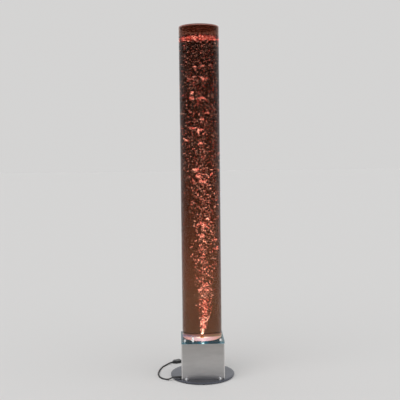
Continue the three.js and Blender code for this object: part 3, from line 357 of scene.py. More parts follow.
# A turned piece about Z. Each ring is (radius, height), where a radius may be a function of the angle.
def turn(name, rings, steps, made, closed=False, angle=sharpAngle):
    shape = bmesh.new()
    loops = []
    for radius, height in rings:
        if radius == 0:
            loops.append([shape.verts.new((0, 0, height))])
            continue
        loop = []
        for step in range(steps):
            at = math.tau * step / steps
            reach = radius(at) if callable(radius) else radius
            loop.append(shape.verts.new(around(reach, at, height)))
        loops.append(loop)
    pairs = list(zip(loops, loops[1:]))
    if closed:
        pairs.append((loops[-1], loops[0]))
    for lower, upper in pairs:
        for step in range(steps):
            after = (step + 1) % steps
            if len(lower) == 1:
                corners = (lower[0], upper[after], upper[step])
            elif len(upper) == 1:
                corners = (lower[step], lower[after], upper[0])
            else:
                corners = (lower[step], lower[after], upper[after], upper[step])
            shape.faces.new(corners)
    bmesh.ops.recalc_face_normals(shape, faces=shape.faces)
    mesh = bpy.data.meshes.new(name)
    shape.to_mesh(mesh)
    shape.free()
    smoothMesh(mesh, angle)
    return objectOf(name, mesh, made)


def shift(piece, x=0.0, y=0.0, z=0.0):
    piece.data.transform(Matrix.Translation((x, y, z)))
    return piece


def spin(piece, degrees, axis):
    piece.data.transform(Matrix.Rotation(math.radians(degrees), 4, axis))
    return piece


# A round node's box, its middle and its radius
def roundBox(node):
    low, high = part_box(node)
    return low, high, (low + high) / 2, (high.x - low.x) / 2


# The piece moves with the node's body and stands for the node.
def seat(piece, node):
    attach(piece, bodyOf[node])
    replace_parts(piece, node)
    return piece


# A copy of a node with its edges broken by a small bevel.
def dress(node, name, made, bevel=0.0004, segments=2, angle=sharpAngle):
    mesh = nodes[node].data.copy()
    mesh.materials.clear()
    shape = bmesh.new()
    shape.from_mesh(mesh)
    bmesh.ops.remove_doubles(shape, verts=shape.verts, dist=weld)
    flat = math.radians(flatAngle)
    bmesh.ops.dissolve_limit(shape, angle_limit=flat, verts=shape.verts, edges=shape.edges)
    shape.to_mesh(mesh)
    shape.free()
    piece = objectOf(name, mesh, made)
    edge = piece.modifiers.new("edges", "BEVEL")
    edge.width = bevel
    edge.segments = segments
    edge.limit_method = "ANGLE"
    edge.angle_limit = math.radians(angle)
    edge.use_clamp_overlap = True
    smoothMesh(mesh, angle)
    return seat(piece, node)


# Mains lead: the route of the model, in metres

lead = {
    "radius": 0.0035,
    "length": 0.359,
    "roundSteps": 6,
    "spanSteps": 10,
    "route": [
        (-0.1416, -0.085, 0.0178),
        (-0.1486, -0.085, 0.0178),
        (-0.1554, -0.0843, 0.0154),
        (-0.174, -0.079, 0.0066),
        (-0.192, -0.068, 0.0038),
        (-0.208, -0.052, 0.0038),
        (-0.219, -0.031, 0.0038),
        (-0.225, -0.005, 0.0038),
        (-0.227, 0.025, 0.0038),
        (-0.224, 0.06, 0.0038),
        (-0.218, 0.095, 0.0038),
        (-0.208, 0.13, 0.0038),
        (-0.194, 0.158, 0.0038),
        (-0.179, 0.182, 0.0044),
        (-0.16005, 0.19796, 0.0073),
        (-0.15387, 0.20124, 0.0073),
    ],
}


def layLead(lead):
    curve = bpy.data.curves.new("lead", "CURVE")
    curve.dimensions = "3D"
    curve.bevel_depth = lead["radius"]
    curve.bevel_resolution = lead["roundSteps"]
    curve.use_fill_caps = True
    line = curve.splines.new("BEZIER")
    line.resolution_u = lead["spanSteps"]
    line.bezier_points.add(len(lead["route"]) - 1)
    for point, place in zip(line.bezier_points, lead["route"]):
        point.co = place
        point.handle_left_type = "AUTO"
        point.handle_right_type = "AUTO"
    piece = bpy.data.objects.new("lead", curve)
    scene.collection.objects.link(piece)
    curve.materials.append(finishes["rubber"])
    seat(piece, "mains_cord")
    print("lead length:", round(line.calc_length(), 4))
    return piece


# Strain relief: a ribbed cone on a flange at the housing's side
boot = {
    "neck": 0.005, "flange": 0.0062, "flangeDepth": 0.003, "lip": 0.002, "length": 0.03, "root": 0.0058,
    "tip": 0.0044, "grooveDepth": 0.0008, "grooves": 6, "edge": 0.0005, "steps": 40,
    # a rib and its groove: (share of the pitch, share of the groove's depth)
    "ribShares": [(0.05, 0), (0.5, 0), (0.6, 0.7), (0.7, 1), (0.85, 1), (0.95, 0.7)],
}


def makeBoot(boot):
    low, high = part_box("cord_boot")
    middle = (low + high) / 2
    edge = boot["edge"]
    start = high.x - low.x - boot["length"]
    seatStart = start - boot["flangeDepth"]
    rings = [(0, 0), (boot["flange"] - edge, 0), (boot["flange"], edge), (boot["flange"], boot["lip"]),
             (boot["neck"], boot["lip"]), (boot["neck"], seatStart),
             (boot["flange"] - edge, seatStart), (boot["flange"], seatStart + edge),
             (boot["flange"], start - edge), (boot["flange"] - edge, start)]
    pitch = boot["length"] / boot["grooves"]
    for groove in range(boot["grooves"]):
        share = (groove + 0.5) / boot["grooves"]
        radius = boot["root"] + (boot["tip"] - boot["root"]) * share
        for along, depth in boot["ribShares"]:
            rings.append((radius - depth * boot["grooveDepth"], start + (groove + along) * pitch))
    rings += [(boot["tip"] - edge, start + boot["length"]), (0, start + boot["length"])]
    piece = spin(turn("strain_relief", rings, boot["steps"], finishes["rubber"]), -90, "Y")
    return seat(shift(piece, high.x, middle.y, middle.z), "cord_boot")


leadPiece = layLead(lead)
bootPiece = makeBoot(boot)
plugPiece = dress("mains_plug", "plug", finishes["black"], 0.0008, 3)
print("lead laid")


# Base disc and its rubber pads
baseDisc = {"edge": 0.001, "nickShare": 0.3, "rings": 14, "steps": 192}
padShape = {"edge": 0.0008, "dish": 0.0006, "dishShare": 0.7, "rimShare": 0.76, "steps": 48}
cornerNumbers = range(1, 5)  # pads and screws are numbered by corner


def makeBaseDisc(base):
    low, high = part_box("base_disc")
    radius = high.x
    edge = base["edge"]
    nick = base["nickShare"] * edge
    thick = high.z - low.z
    rings = [(0, 0), (radius - edge, 0), (radius - nick, nick), (radius, edge), (radius, thick - edge),
             (radius - nick, thick - nick), *flatRings(radius - edge, base["rings"], thick)]
    seat(shift(turn("base_plate", rings, base["steps"], finishes["polished"]), z=low.z), "base_disc")


def makePads(pad):
    for corner in cornerNumbers:
        node = f"foot_pad_{corner}"
        low, high, middle, radius = roundBox(node)
        tall = high.z - low.z
        edge = pad["edge"]
        rings = [(0, pad["dish"]), (pad["dishShare"] * radius, pad["dish"]), (pad["rimShare"] * radius, 0),
                 (radius - edge, 0), (radius, edge), (radius, tall - edge / 2), (radius - edge / 2, tall),
                 (0, tall)]
        piece = turn(f"pad_{corner}", rings, pad["steps"], finishes["rubber"])
        seat(shift(piece, middle.x, middle.y, low.z), node)


makeBaseDisc(baseDisc)
makePads(padShape)


# Socket cap screws with knurled heads
capScrew = {
    "shank": 0.004, "socket": 0.0035, "socketDepth": 0.004, "edge": 0.0006, "tall": 0.008, "steps": 96,
    "knurl": 0.00018, "knurlShare": 0.45,
    # the crown's edge, in shares of it: (in from the side, down from the top)
    "crownShares": [(0, 1.6), (0.3, 0.6), (1, 0)],
}


def hexReach(apothem):
    sixth = math.pi / 3
    return lambda at: apothem / math.cos((at + sixth / 2) % sixth - sixth / 2)


def knurled(radius, depth, steps):
    half = math.pi / steps
    return lambda at: radius - (depth if round(at / half / 2) % 2 else 0)


def makeCapScrew(screw, node, name, made):
    low, high, middle, radius = roundBox(node)
    edge = screw["edge"]
    top = screw["tall"]
    foot = low.z - high.z + top
    rings = [(0, foot), (screw["shank"] - edge, foot), (screw["shank"], foot + edge), (screw["shank"], 0),
             (radius - edge / 2, 0), (radius, edge / 2)]
    grip = knurled(radius, screw["knurl"], screw["steps"])
    rings += [(grip, level) for level in (edge, screw["knurlShare"] * top, top - 2 * edge)]
    rings += [(radius - inward * edge, top - down * edge) for inward, down in screw["crownShares"]]
    socket = hexReach(screw["socket"] * math.cos(math.pi / 6))
    rings += [(screw["socket"] + edge, top), (socket, top - edge / 2), (socket, top - screw["socketDepth"]),
              (0, top - screw["socketDepth"] - edge)]
    piece = turn(name, rings, screw["steps"], made)
    seat(shift(piece, middle.x, middle.y, high.z - top), node)


for corner in cornerNumbers:
    makeCapScrew(capScrew, f"plate_screw_{corner}", f"plate_cap_screw_{corner}", finishes["litSteel"])
    makeCapScrew(capScrew, f"foot_screw_{corner}", f"foot_cap_screw_{corner}", finishes["steel"])
print("base, pads and screws made")


# Housing, rear panel and deck keep the model's shape, with their edges broken

housingLook = {
    "colour": (0.4, 0.393, 0.388),
    # painted shade and reflection from the foot to the top: a darker, bluer foot for the dark disc's
    # reflection, and a brighter middle
    "levels": [(0.0, (0.92, 0.92, 0.95)), (0.45, (1.26, 1.25, 1.25)), (1.0, (1.0, 0.975, 0.96))],
    # painted highlight along the upright bends: its colour, and its band in from the corner
    "bendHighlight": (0.74, 0.73, 0.72),
    "bendHighlightBand": (0.006, 0.003),
}


# The brushed sheet has a painted highlight along its upright bends.
def housingMaterial(look):
    made = surface("brushedHousing", look["colour"], brushedLook)
    brushed = shaderOf(made).inputs["Base Color"].links[0].from_socket
    low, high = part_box("housing_shell")
    x, y, z = axes(made)
    # painted shade and reflection by height, multiplied into the brushed colour
    paintedShading = ramp(made, shareOf(made, z, low.z, high.z), look["levels"])
    brushed = blend(made, 1.0, brushed, paintedShading, "MULTIPLY")
    corner = calc(made, "MINIMUM", calc(made, "ABSOLUTE", x), calc(made, "ABSOLUTE", y))
    bend = edgeBand(made, corner, high.x, look["bendHighlightBand"])
    feed(made, "colour", blend(made, bend, brushed, look["bendHighlight"]))
    return made


dress("housing_shell", "folded_housing", housingMaterial(housingLook))
dress("rear_panel", "louvred_cover", finishes["brushed"])
dress("deck_plate", "deck", finishes["brushed"], segments=1)
dress("switch_frame", "switch_bezel", finishes["black"], 0.0005)
dress("switch_rocker", "switch_key", finishes["grey"], 0.0005)

coverScrew = {
    "head": 0.0024, "shank": 0.002, "steps": 48, "skirtShare": 0.35, "socketShare": 0.36, "floorShare": 0.3,
    "domeAngles": (0, 15, 30, 45, 60),
}


def makeCoverScrews(screw):
    for corner in cornerNumbers:
        node = f"rear_screw_{corner}"
        low, high, middle, radius = roundBox(node)
        tall = screw["head"]
        foot = tall - (high.y - low.y)
        skirt = screw["skirtShare"]
        dome = [(radius * math.cos(at), tall * (skirt + (1 - skirt) * math.sin(at)))
                for at in map(math.radians, screw["domeAngles"])]
        socket = hexReach(screw["socketShare"] * radius)
        rings = [(0, foot), (screw["shank"], foot), (screw["shank"], 0), (radius, 0), *dome,
                 (socket, tall), (socket, skirt * tall), (0, screw["floorShare"] * tall)]
        piece = spin(turn(f"cover_screw_{corner}", rings, screw["steps"], finishes["steel"]), -90, "X")
        seat(shift(piece, middle.x, high.y - tall, middle.z), node)


makeCoverScrews(coverScrew)
print("housing dressed")


# Water, tube and lid. The water's tint is the lamp's red light painted into it, paler near the lamp.

waterLook = {
    "paintedLampTints": [
        (0.0, (0.178, 0.082, 0.0465)),
        (0.13, (0.19, 0.077, 0.0405)),
        (0.26, (0.172, 0.058, 0.03)),
        (0.46, (0.088, 0.0275, 0.0145)),
        (0.73, (0.042, 0.0118, 0.0063)),
        (1.0, (0.028, 0.0076, 0.0041)),
    ],
    "clouds": [(0.3, (1.05, 0.9, 0.88)), (0.5, (1.0, 1.0, 1.0)), (0.7, (0.93, 1.05, 1.0))],
    "cloudScale": 22.0,
    "cloudStretch": (1, 1, 0.6),
    "cloudWarp": 0.6,
    "overlap": 0.00005,
    "steps": 192,
    "levelShares": (0.25, 0.5, 0.75, 0.997),
    "topRings": 26,
    "topBand": 0.003,
    "ripple": 0.0009,
    # (scale, share of the ripple, seed)
    "waves": [(40, 1.0, 3.7), (95, 0.5, 9.1)],
    "rippleShare": 0.985,
    "climb": 0.005,
    "climbStart": 0.8,
}
tubeShape = {"wall": 0.005, "edge": 0.0005, "steps": 192, "levelShares": (0.25, 0.5, 0.75)}
lidShape = {"play": 0.0008, "vent": 0.005, "step": 0.0043, "edge": 0.0005, "steps": 160}

# A little of the lamp's light leaves at the rims. Each band is (start, end), measured in from the edge.
rimGlow = {
    "colour": (1.0, 0.5, 0.46),
    "tubeStrength": 0.12,
    "lidStrength": 0.1,
    "tubeBand": (0.0016, 0.0002),
    "lidBand": (0.003, 0.0004),
    "ventBand": (0.002, 0.0002),
}


def waterMaterial(look, low, high):
    made = newMaterial("litWater", rough=0.0, ior=1.33, clear=1.0, glossTint=(0.1, 0.1, 0.1))
    # the lamp's red light is painted as a tint by height, paler near the lamp
    tint = ramp(made, shareOf(made, axes(made)[2], low, high), look["paintedLampTints"])
    clouds = noiseValue(made, look["cloudScale"], 3.0, look["cloudStretch"], look["cloudWarp"])
    feed(made, "colour", blend(made, 1.0, tint, ramp(made, clouds, look["clouds"]), "MULTIPLY"))
    return made


def clearMaterial(name, colour, tint, ior=1.49, glowStrength=0.0):
    made = newMaterial(name, colour=colour, rough=0.0, ior=ior, clear=1.0, glossTint=(tint, tint, tint),
                       glowStrength=glowStrength)
    haze = noiseValue(made, 18.0, 3.0)
    feed(made, "colour", ramp(made, haze, [(0.3, shade(colour, 0.985)), (0.7, colour)]))
    feed(made, "rough", spread(made, noiseValue(made, 70.0, 4.0), 0.0, 0.02))
    return made


# The wall touches the water, so its own reflection is weak.
def tubeMaterial(look):
    made = clearMaterial("clearTube", (0.985, 0.985, 0.985), 0.1, ior=1.2, glowStrength=look["tubeStrength"])
    share = edgeBand(made, axes(made)[2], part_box("tube")[1].z, look["tubeBand"])
    feed(made, "glow", blend(made, share, (0.0, 0.0, 0.0), look["colour"]))
    return made


def lidMaterial(look, vent):
    made = clearMaterial("clearLid", (0.64, 0.47, 0.42), 0.2, glowStrength=look["lidStrength"])
    x, y, _ = axes(made)
    reach = distance(made, x, y)
    outside = edgeBand(made, reach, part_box("lid")[1].x, look["lidBand"])
    start, end = look["ventBand"]
    inside = between(made, reach, vent + start, vent + end)
    share = calc(made, "MAXIMUM", outside, inside)
    feed(made, "glow", blend(made, share, (0.0, 0.0, 0.0), look["colour"]))
    return made


def rippled(x, y, look):
    wave = 0.0
    for scale, share, seed in look["waves"]:
        wave += share * noise.noise(Vector((x * scale, y * scale, seed)))
    return wave * look["ripple"]


# The froth carries the water a little up the wall.
def climb(x, y, look, bore):
    share = max(0.0, (math.hypot(x, y) / bore - look["climbStart"]) / (1 - look["climbStart"]))
    return look["climb"] * share * share


def makeWater(look):
    low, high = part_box("water")
    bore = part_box("tube")[1].x - tubeShape["wall"] + look["overlap"]
    rings = [(0, low.z), (bore / 2, low.z), (bore, low.z)]
    rings += [(bore, low.z + (high.z - low.z) * share) for share in look["levelShares"]]
    rings += flatRings(bore, look["topRings"], high.z - look["ripple"])
    piece = turn("water_column", rings, look["steps"], waterMaterial(look, low.z, high.z), angle=60)
    for vertex in piece.data.vertices:
        x, y, z = vertex.co
        if z > high.z - look["topBand"]:
            vertex.co.z += climb(x, y, look, bore)
            if math.hypot(x, y) < look["rippleShare"] * bore:
                vertex.co.z += rippled(x, y, look)
    seat(piece, "water")


def makeTube(tube):
    low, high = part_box("tube")
    outer = high.x
    inner = outer - tube["wall"]
    edge = tube["edge"]
    levels = [low.z + (high.z - low.z) * share for share in tube["levelShares"]]
    rings = [(inner, low.z + edge), (inner + edge, low.z), (outer - edge, low.z), (outer, low.z + edge)]
    rings += [(outer, level) for level in levels]
    rings += [(outer, high.z - edge), (outer - edge, high.z), (inner + edge, high.z), (inner, high.z - edge)]
    rings += [(inner, level) for level in reversed(levels)]
    seat(turn("clear_tube", rings, tube["steps"], tubeMaterial(rimGlow), closed=True), "tube")


def makeLid(lid):
    low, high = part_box("lid")
    outer = high.x
    inner = outer - tubeShape["wall"] - lid["play"]
    edge = lid["edge"]
    vent = lid["vent"]
    shoulder = low.z + lid["step"]
    rings = [(vent, low.z + edge), (vent + edge, low.z), (inner - edge, low.z), (inner, low.z + edge),
             (inner, shoulder), (outer - edge, shoulder), (outer, shoulder + edge), (outer, high.z - edge),
             (outer - edge, high.z), (vent + edge, high.z), (vent, high.z - edge)]
    seat(turn("clear_lid", rings, lid["steps"], lidMaterial(rimGlow, vent), closed=True), "lid")


makeWater(waterLook)
makeTube(tubeShape)
makeLid(lidShape)


# Condensation in the headspace: a film on the wall and one under the lid, with droplets
mist = {
    "film": 0.0003,
    "inset": 0.0006,
    "foot": 0.0012,
    "tint": (0.42, 0.24, 0.185),
    "beadScale": 190.0,
    "beadShades": (0.86, 1.14),
    "beadDepth": 0.0006,
    "droplets": 420,
    "dropletSizes": (0.0005, 0.0016),
    "dropletFlat": 0.45,
    "dropletTall": (1.0, 1.5),
    "dropletSunk": 0.3,
    "dropletMargins": (0.004, 0.003),
    "dropletTint": (0.5, 0.3, 0.27),
    "seed": 31,
}


def mistMaterial(look):
    made = newMaterial("condensation", rough=0.12, ior=1.0, clear=1.0, gloss=0.0)
    beads = noiseValue(made, look["beadScale"], 4.0)
    dark, pale = [shade(look["tint"], share) for share in look["beadShades"]]
    feed(made, "colour", ramp(made, beads, [(0.35, dark), (0.65, pale)]))
    addBump(made, beads, 0.4, look["beadDepth"])
    return made


# The lumps' noise: its scale on a ball, and how far it moves on from one ball to the next
lumpScale = 1.4
lumpDrift = (1.7, 0.9)


# Many small lumpy balls in one mesh. Each item is (place, radii, rotation, material).
def blobs(name, items, materials, lumps):
    base = bmesh.new()
    bmesh.ops.create_icosphere(base, subdivisions=1, radius=1.0)
    points = [vertex.co.copy() for vertex in base.verts]
    triangles = [[vertex.index for vertex in face.verts] for face in base.faces]
    base.free()
    vertices, faces, kinds = [], [], []
    for number, (place, radii, rotation, kind) in enumerate(items):
        start = len(vertices)
        turned = rotation.to_matrix()
        offset = Vector((number * lumpDrift[0], number * lumpDrift[1], 0.3))
        for point in points:
            swell = 1 + lumps * noise.noise(point * lumpScale + offset)
            shaped = Vector((point.x * radii[0], point.y * radii[1], point.z * radii[2])) * swell
            vertices.append(place + turned @ shaped)
        faces += [[start + index for index in triangle] for triangle in triangles]
        kinds += [kind] * len(triangles)
    mesh = bpy.data.meshes.new(name)
    mesh.from_pydata(vertices, [], faces)
    mesh.polygons.foreach_set("material_index", kinds)
    mesh.polygons.foreach_set("use_smooth", [True] * len(faces))
    mesh.update()
    return objectOf(name, mesh, *materials)


def makeDroplets(mist, bore, bottom, top):
    random.seed(mist["seed"])
    below, above = mist["dropletMargins"]
    items = []
    for _ in range(mist["droplets"]):
        at = random.uniform(0, math.tau)
        level = random.uniform(bottom + below, top - above)
        size = random.uniform(*mist["dropletSizes"])
        reach = bore - mist["film"] - size * mist["dropletSunk"]
        radii = (size * mist["dropletFlat"], size, size * random.uniform(*mist["dropletTall"]))
        items.append((around(reach, at, level), radii, Euler((0, 0, at)), 0))
    made = newMaterial("droplet", colour=mist["dropletTint"], rough=0.02, ior=1.33, clear=1.0,
                       glossTint=(0.6, 0.6, 0.6))
    drops = blobs("wall_droplets", items, [made], 0.1)
    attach(drops, bodyOf["tube"])


def makeMist(mist):
    made = mistMaterial(mist)
    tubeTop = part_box("tube")[1]
    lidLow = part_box("lid")[0].z
    film = mist["film"]
    bore = tubeTop.x - tubeShape["wall"] + waterLook["overlap"]
    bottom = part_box("water")[1].z + waterLook["climb"] - mist["foot"]
    top = tubeTop.z - mist["inset"]
    rings = [(bore, bottom), (bore, top), (bore - film, top), (bore - film, bottom)]
    wall = turn("wall_mist", rings, tubeShape["steps"], made, closed=True)
    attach(wall, bodyOf["tube"])
    inner = bore - lidShape["play"] - mist["inset"]
    vent = lidShape["vent"] + mist["inset"]
    level = lidLow + waterLook["overlap"]
    rings = [(vent, level), (inner, level), (inner, level - film), (vent, level - film)]
    under = turn("lid_mist", rings, lidShape["steps"], made, closed=True)
    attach(under, bodyOf["lid"])
    makeDroplets(mist, bore, bottom, lidLow)


makeMist(mist)
print("water, tube, lid and condensation made")


# Bubbles: a plume from the nozzle that leans to the right, then spreads over the whole bore

bubbleLevels = [(0.0, 0.62), (0.05, 0.66), (0.14, 0.68), (0.26, 0.8), (0.46, 0.95), (1.0, 1.0)]


def bubbleMaterial(name, lit, dark, strength):
    made = newMaterial(name, colour=(0.8, 0.7, 0.68), rough=0.0, ior=1.0, clear=1.0, glowStrength=strength)
    normal = addNode(made, "ShaderNodeNewGeometry").outputs["Normal"]
    upward = addNode(made, "ShaderNodeSeparateXYZ", {"Vector": normal}).outputs["Z"]
    # the lamp is below, so undersides are bright, and a little light is caught under the top
    glow = ramp(made, shareOf(made, upward, 1.0, -1.0),
                [(0.0, shade(lit, 0.6)), (0.08, shade(dark, 0.6)), (0.4, dark), (0.62, lit), (1.0, lit)])
    # the water's painted tint is paler near the lamp, so less light gives the same bubble
    low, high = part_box("water")
    level = shareOf(made, axes(made)[2], low.z, high.z)
    share = ramp(made, level, [(position, (value, value, value)) for position, value in bubbleLevels])
    feed(made, "glow", blend(made, 1.0, glow, share, "MULTIPLY"))
    return made


# Each kind is (colour where lit, colour in shade, strength).
bubbleLooks = {
    "dim": ((1.0, 0.2, 0.17), (0.1, 0.012, 0.008), 0.75),
    "pale": ((1.0, 0.9, 0.9), (0.08, 0.05, 0.045), 1.5),
    "deep": ((1.0, 0.3, 0.28), (0.12, 0.02, 0.015), 1.3),
    "red": ((1.0, 0.36, 0.36), (0.1, 0.02, 0.015), 2.7),
    "bright": ((1.0, 0.6, 0.58), (0.12, 0.04, 0.03), 3.9),
    "hot": ((1.0, 0.8, 0.78), (0.2, 0.09, 0.07), 5.8),
    "white": ((1.0, 0.96, 0.92), (0.8, 0.6, 0.55), 8.0),
}
bubbleKinds = list(bubbleLooks)
bubbleFinishes = [bubbleMaterial(kind + "Bubble", *look) for kind, look in bubbleLooks.items()]

plume = {
    # (height, centre to the right, half width, bubbles per metre, share spread over the whole bore)
    "levels": [
        (0.2180, 0.0005, 0.0032, 1500, 0.0),
        (0.2320, 0.0020, 0.0085, 2200, 0.0),
        (0.2620, 0.0050, 0.0155, 2700, 0.0),
        (0.3100, 0.0090, 0.0240, 3100, 0.0),
        (0.3700, 0.0125, 0.0330, 3000, 0.0),
        (0.4300, 0.0110, 0.0380, 2100, 0.0),
        (0.4750, 0.0130, 0.0370, 1500, 0.0),
        (0.5300, 0.0110, 0.0430, 1400, 0.0),
        (0.6200, 0.0120, 0.0520, 1700, 0.02),
        (0.7200, 0.0170, 0.0580, 1750, 0.06),
        (0.8300, 0.0180, 0.0620, 1900, 0.12),
        (0.9300, 0.0160, 0.0660, 2100, 0.22),
        (1.0300, 0.0080, 0.0650, 2300, 0.35),
        (1.1800, 0.0030, 0.0700, 2300, 0.45),
        (1.4000, 0.0010, 0.0730, 2200, 0.5),
        (1.6900, 0.0, 0.0760, 2000, 0.6),
    ],
    "step": 0.001,
    "reach": 0.0895,
    # share of the stream's bubbles in its core, and the core's share of the half width
    "core": 0.3,
    "coreWidth": 0.4,
    # how uneven the stream's edge is, and how far the sizes lean to the small end
    "blur": (0.8, 1.15),
    "smallness": 1.6,
    "lumps": 0.35,
    # the stream sways from this height on, growing by this share per metre
    "sway": {"reach": 0.016, "scale": 7.0, "start": 0.4, "growth": 4.0},
    "seed": 7,
    # (up to this height, sizes, share of each kind)
    "looks": [
        (0.226, (0.0016, 0.0026), {"hot": 0.3, "white": 0.7}),
        (0.245, (0.0016, 0.0028), {"deep": 0.1, "red": 0.35, "bright": 0.3, "hot": 0.22, "white": 0.03}),
        (0.300, (0.0015, 0.0030), {"dim": 0.1, "deep": 0.16, "red": 0.36, "bright": 0.16, "hot": 0.22}),
        (0.400, (0.0015, 0.0030),
         {"dim": 0.44, "deep": 0.24, "red": 0.14, "bright": 0.09, "hot": 0.07, "pale": 0.02}),
        (0.700, (0.0014, 0.0029), {"pale": 0.4, "deep": 0.2, "red": 0.14, "bright": 0.14, "hot": 0.12}),
        (1.060, (0.0013, 0.0029), {"pale": 0.38, "deep": 0.2, "red": 0.19, "bright": 0.14, "hot": 0.09}),
        (2.000, (0.0012, 0.0028), {"pale": 0.51, "deep": 0.2, "red": 0.17, "bright": 0.08, "hot": 0.04}),
    ],
}


def plumeAt(levels, height):
    for (lowZ, *low), (highZ, *high) in zip(levels, levels[1:]):
        if height <= highZ:
            share = (height - lowZ) / (highZ - lowZ)
            return [a + (b - a) * share for a, b in zip(low, high)]
    return levels[-1][1:]


def anyTurn():
    return Euler([random.uniform(0, math.tau) for _ in range(3)])


def drawKind(shares):
    names = list(shares)
    return bubbleKinds.index(random.choices(names, [shares[name] for name in names])[0])


# A fleck's length, width and thickness, in shares of its size
fleckShares = ((1.0, 1.75), (0.6, 0.85), (0.45, 0.7))


def fleck(size):
    return [size * random.uniform(*shares) for shares in fleckShares]


# The core of the stream wanders a little about the plume's centre.
def streamCentre(sway, height):
    reach = sway["reach"] * min(1.0, max(0.0, (height - sway["start"]) * sway["growth"]))
    at = height * sway["scale"]
    return reach * noise.noise(Vector((at, 0, 0))), reach * noise.noise(Vector((0, at, 5)))


def makeBubbles(plume):
    random.seed(plume["seed"])
    levels = plume["levels"]
    items = []
    height, due = levels[0][0], 0.0
    while height < levels[-1][0]:
        centre, half, perMetre, even = plumeAt(levels, height)
        due += perMetre * plume["step"]
        wander = streamCentre(plume["sway"], height)
        while due >= 1:
            due -= 1
            at = random.uniform(0, math.tau)
            draw = random.random()
            if draw < even:
                reach = plume["reach"] * math.sqrt(random.random())
                x, y = reach * math.cos(at), reach * math.sin(at)
            else:
                inner = plume["coreWidth"] if draw < even + (1 - even) * plume["core"] else 1.0
                reach = half * inner * math.sqrt(random.random()) * random.uniform(*plume["blur"])
                x, y = centre + wander[0] + reach * math.cos(at), wander[1] + reach * math.sin(at)
            away = math.hypot(x, y)
            if away > plume["reach"]:
                x, y = x * plume["reach"] / away, y * plume["reach"] / away
            _, (small, large), shares = next(look for look in plume["looks"] if height < look[0])
            size = small + (large - small) * random.random() ** plume["smallness"]
            place = Vector((x, y, height + random.uniform(0, plume["step"])))
            items.append((place, fleck(size), anyTurn(), drawKind(shares)))
        height += plume["step"]
    piece = blobs("rising_bubbles", items, bubbleFinishes, plume["lumps"])
    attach(piece, bodyOf["water"])
    print("rising bubbles:", len(items))


# Large bubbles: domes with hollow undersides, each in a cluster of small ones
clusters = {
    # (right, back, height, half width, number of small bubbles)
    "places": [
        (0.006, 0.004, 1.410, 0.019, 24), (-0.031, -0.02, 1.413, 0.013, 14),
        (0.003, 0.006, 1.253, 0.018, 22), (-0.027, 0.015, 1.262, 0.012, 12),
        (-0.013, -0.006, 1.056, 0.015, 24), (-0.004, 0.004, 1.021, 0.013, 14),
        (0.010, 0.0, 0.995, 0.015, 18), (-0.001, -0.01, 0.783, 0.012, 14), (0.016, -0.004, 0.770, 0.014, 14),
        (0.003, 0.006, 0.723, 0.012, 14), (0.058, 0.01, 0.655, 0.010, 10), (0.056, -0.02, 0.703, 0.014, 8),
        (0.020, -0.006, 0.445, 0.008, 9), (-0.008, 0.004, 0.447, 0.009, 9), (0.015, 0.008, 0.470, 0.012, 11),
        (0.016, 0.01, 1.506, 0.012, 12), (-0.040, -0.01, 1.502, 0.010, 8), (-0.026, 0.02, 1.440, 0.010, 8),
        (0.014, -0.02, 1.566, 0.010, 8), (-0.018, 0.0, 1.566, 0.008, 7), (0.026, -0.01, 1.336, 0.014, 11),
        (0.012, 0.015, 1.302, 0.012, 10), (0.0, -0.02, 1.186, 0.011, 10), (-0.051, 0.01, 1.204, 0.010, 8),
    ],
    "dome": 0.5,
    "lean": 0.35,
    "turn": 6.0,
    "sizes": (0.0016, 0.0034),
    # places of the small bubbles, in half widths
    "wakeReach": (0.35, 1.1),
    "wakeRise": (-0.15, 0.35),
    "wakeLumps": 0.3,
    "shares": {"pale": 0.1, "red": 0.36, "bright": 0.36, "hot": 0.18},
    "seed": 19,
}
# top and foot are shares of the half width, hollow is the rise under the middle
domeShape = {"top": 0.62, "foot": 0.16, "hollow": 0.22, "uneven": 0.09, "unevenScale": 2.3, "unevenStep": 700}


def domeBubble(shape, point, half):
    x, y, z = point
    reach = min(1.0, math.hypot(x, y))
    rise = shape["top"] * z if z > 0 else shape["foot"] * z + shape["hollow"] * (1 - reach * reach)
    lump = Vector((x * shape["unevenScale"], y * shape["unevenScale"], half * shape["unevenStep"]))
    rim = 1 + shape["uneven"] * noise.noise(lump)
    return Vector((x * half * rim, y * half * rim, rise * half))


def makeClusters(clusters):
    random.seed(clusters["seed"])
    shape = bmesh.new()
    near = []
    tilt = clusters["lean"]
    for right, back, height, half, number in clusters["places"]:
        place = Vector((right, back, height))
        tilts = [random.uniform(-tilt, tilt) for _ in range(2)]
        lean = Euler((*tilts, random.uniform(0, clusters["turn"]))).to_matrix()
        made = bmesh.ops.create_icosphere(shape, subdivisions=4, radius=1.0)
        for vertex in made["verts"]:
            vertex.co = place + lean @ domeBubble(domeShape, vertex.co, clusters["dome"] * half)
        for _ in range(number):
            at = random.uniform(0, math.tau)
            reach = half * random.uniform(*clusters["wakeReach"])
            rise = half * random.gauss(*clusters["wakeRise"])
            size = random.uniform(*clusters["sizes"])
            spot = place + around(reach, at, rise)
            near.append((spot, fleck(size), anyTurn(), drawKind(clusters["shares"])))
    mesh = bpy.data.meshes.new("large_bubbles")
    shape.to_mesh(mesh)
    shape.free()
    mesh.polygons.foreach_set("use_smooth", [True] * len(mesh.polygons))
    piece = objectOf("large_bubbles", mesh, bubbleFinishes[bubbleKinds.index("deep")])
    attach(piece, bodyOf["water"])
    trail = blobs("wake_bubbles", near, bubbleFinishes, clusters["wakeLumps"])
    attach(trail, bodyOf["water"])


# Foam: a raft of small bubbles just under the surface
foam = {
    "count": 360, "reach": 0.0915, "below": 0.003, "depth": 0.008, "sizes": (0.0020, 0.0039), "seed": 23,
    "narrow": (0.7, 1.0), "flat": 0.75, "lumps": 0.25,
    "shares": {"dim": 0.7, "deep": 0.1, "red": 0.1, "bright": 0.06, "hot": 0.04},
}


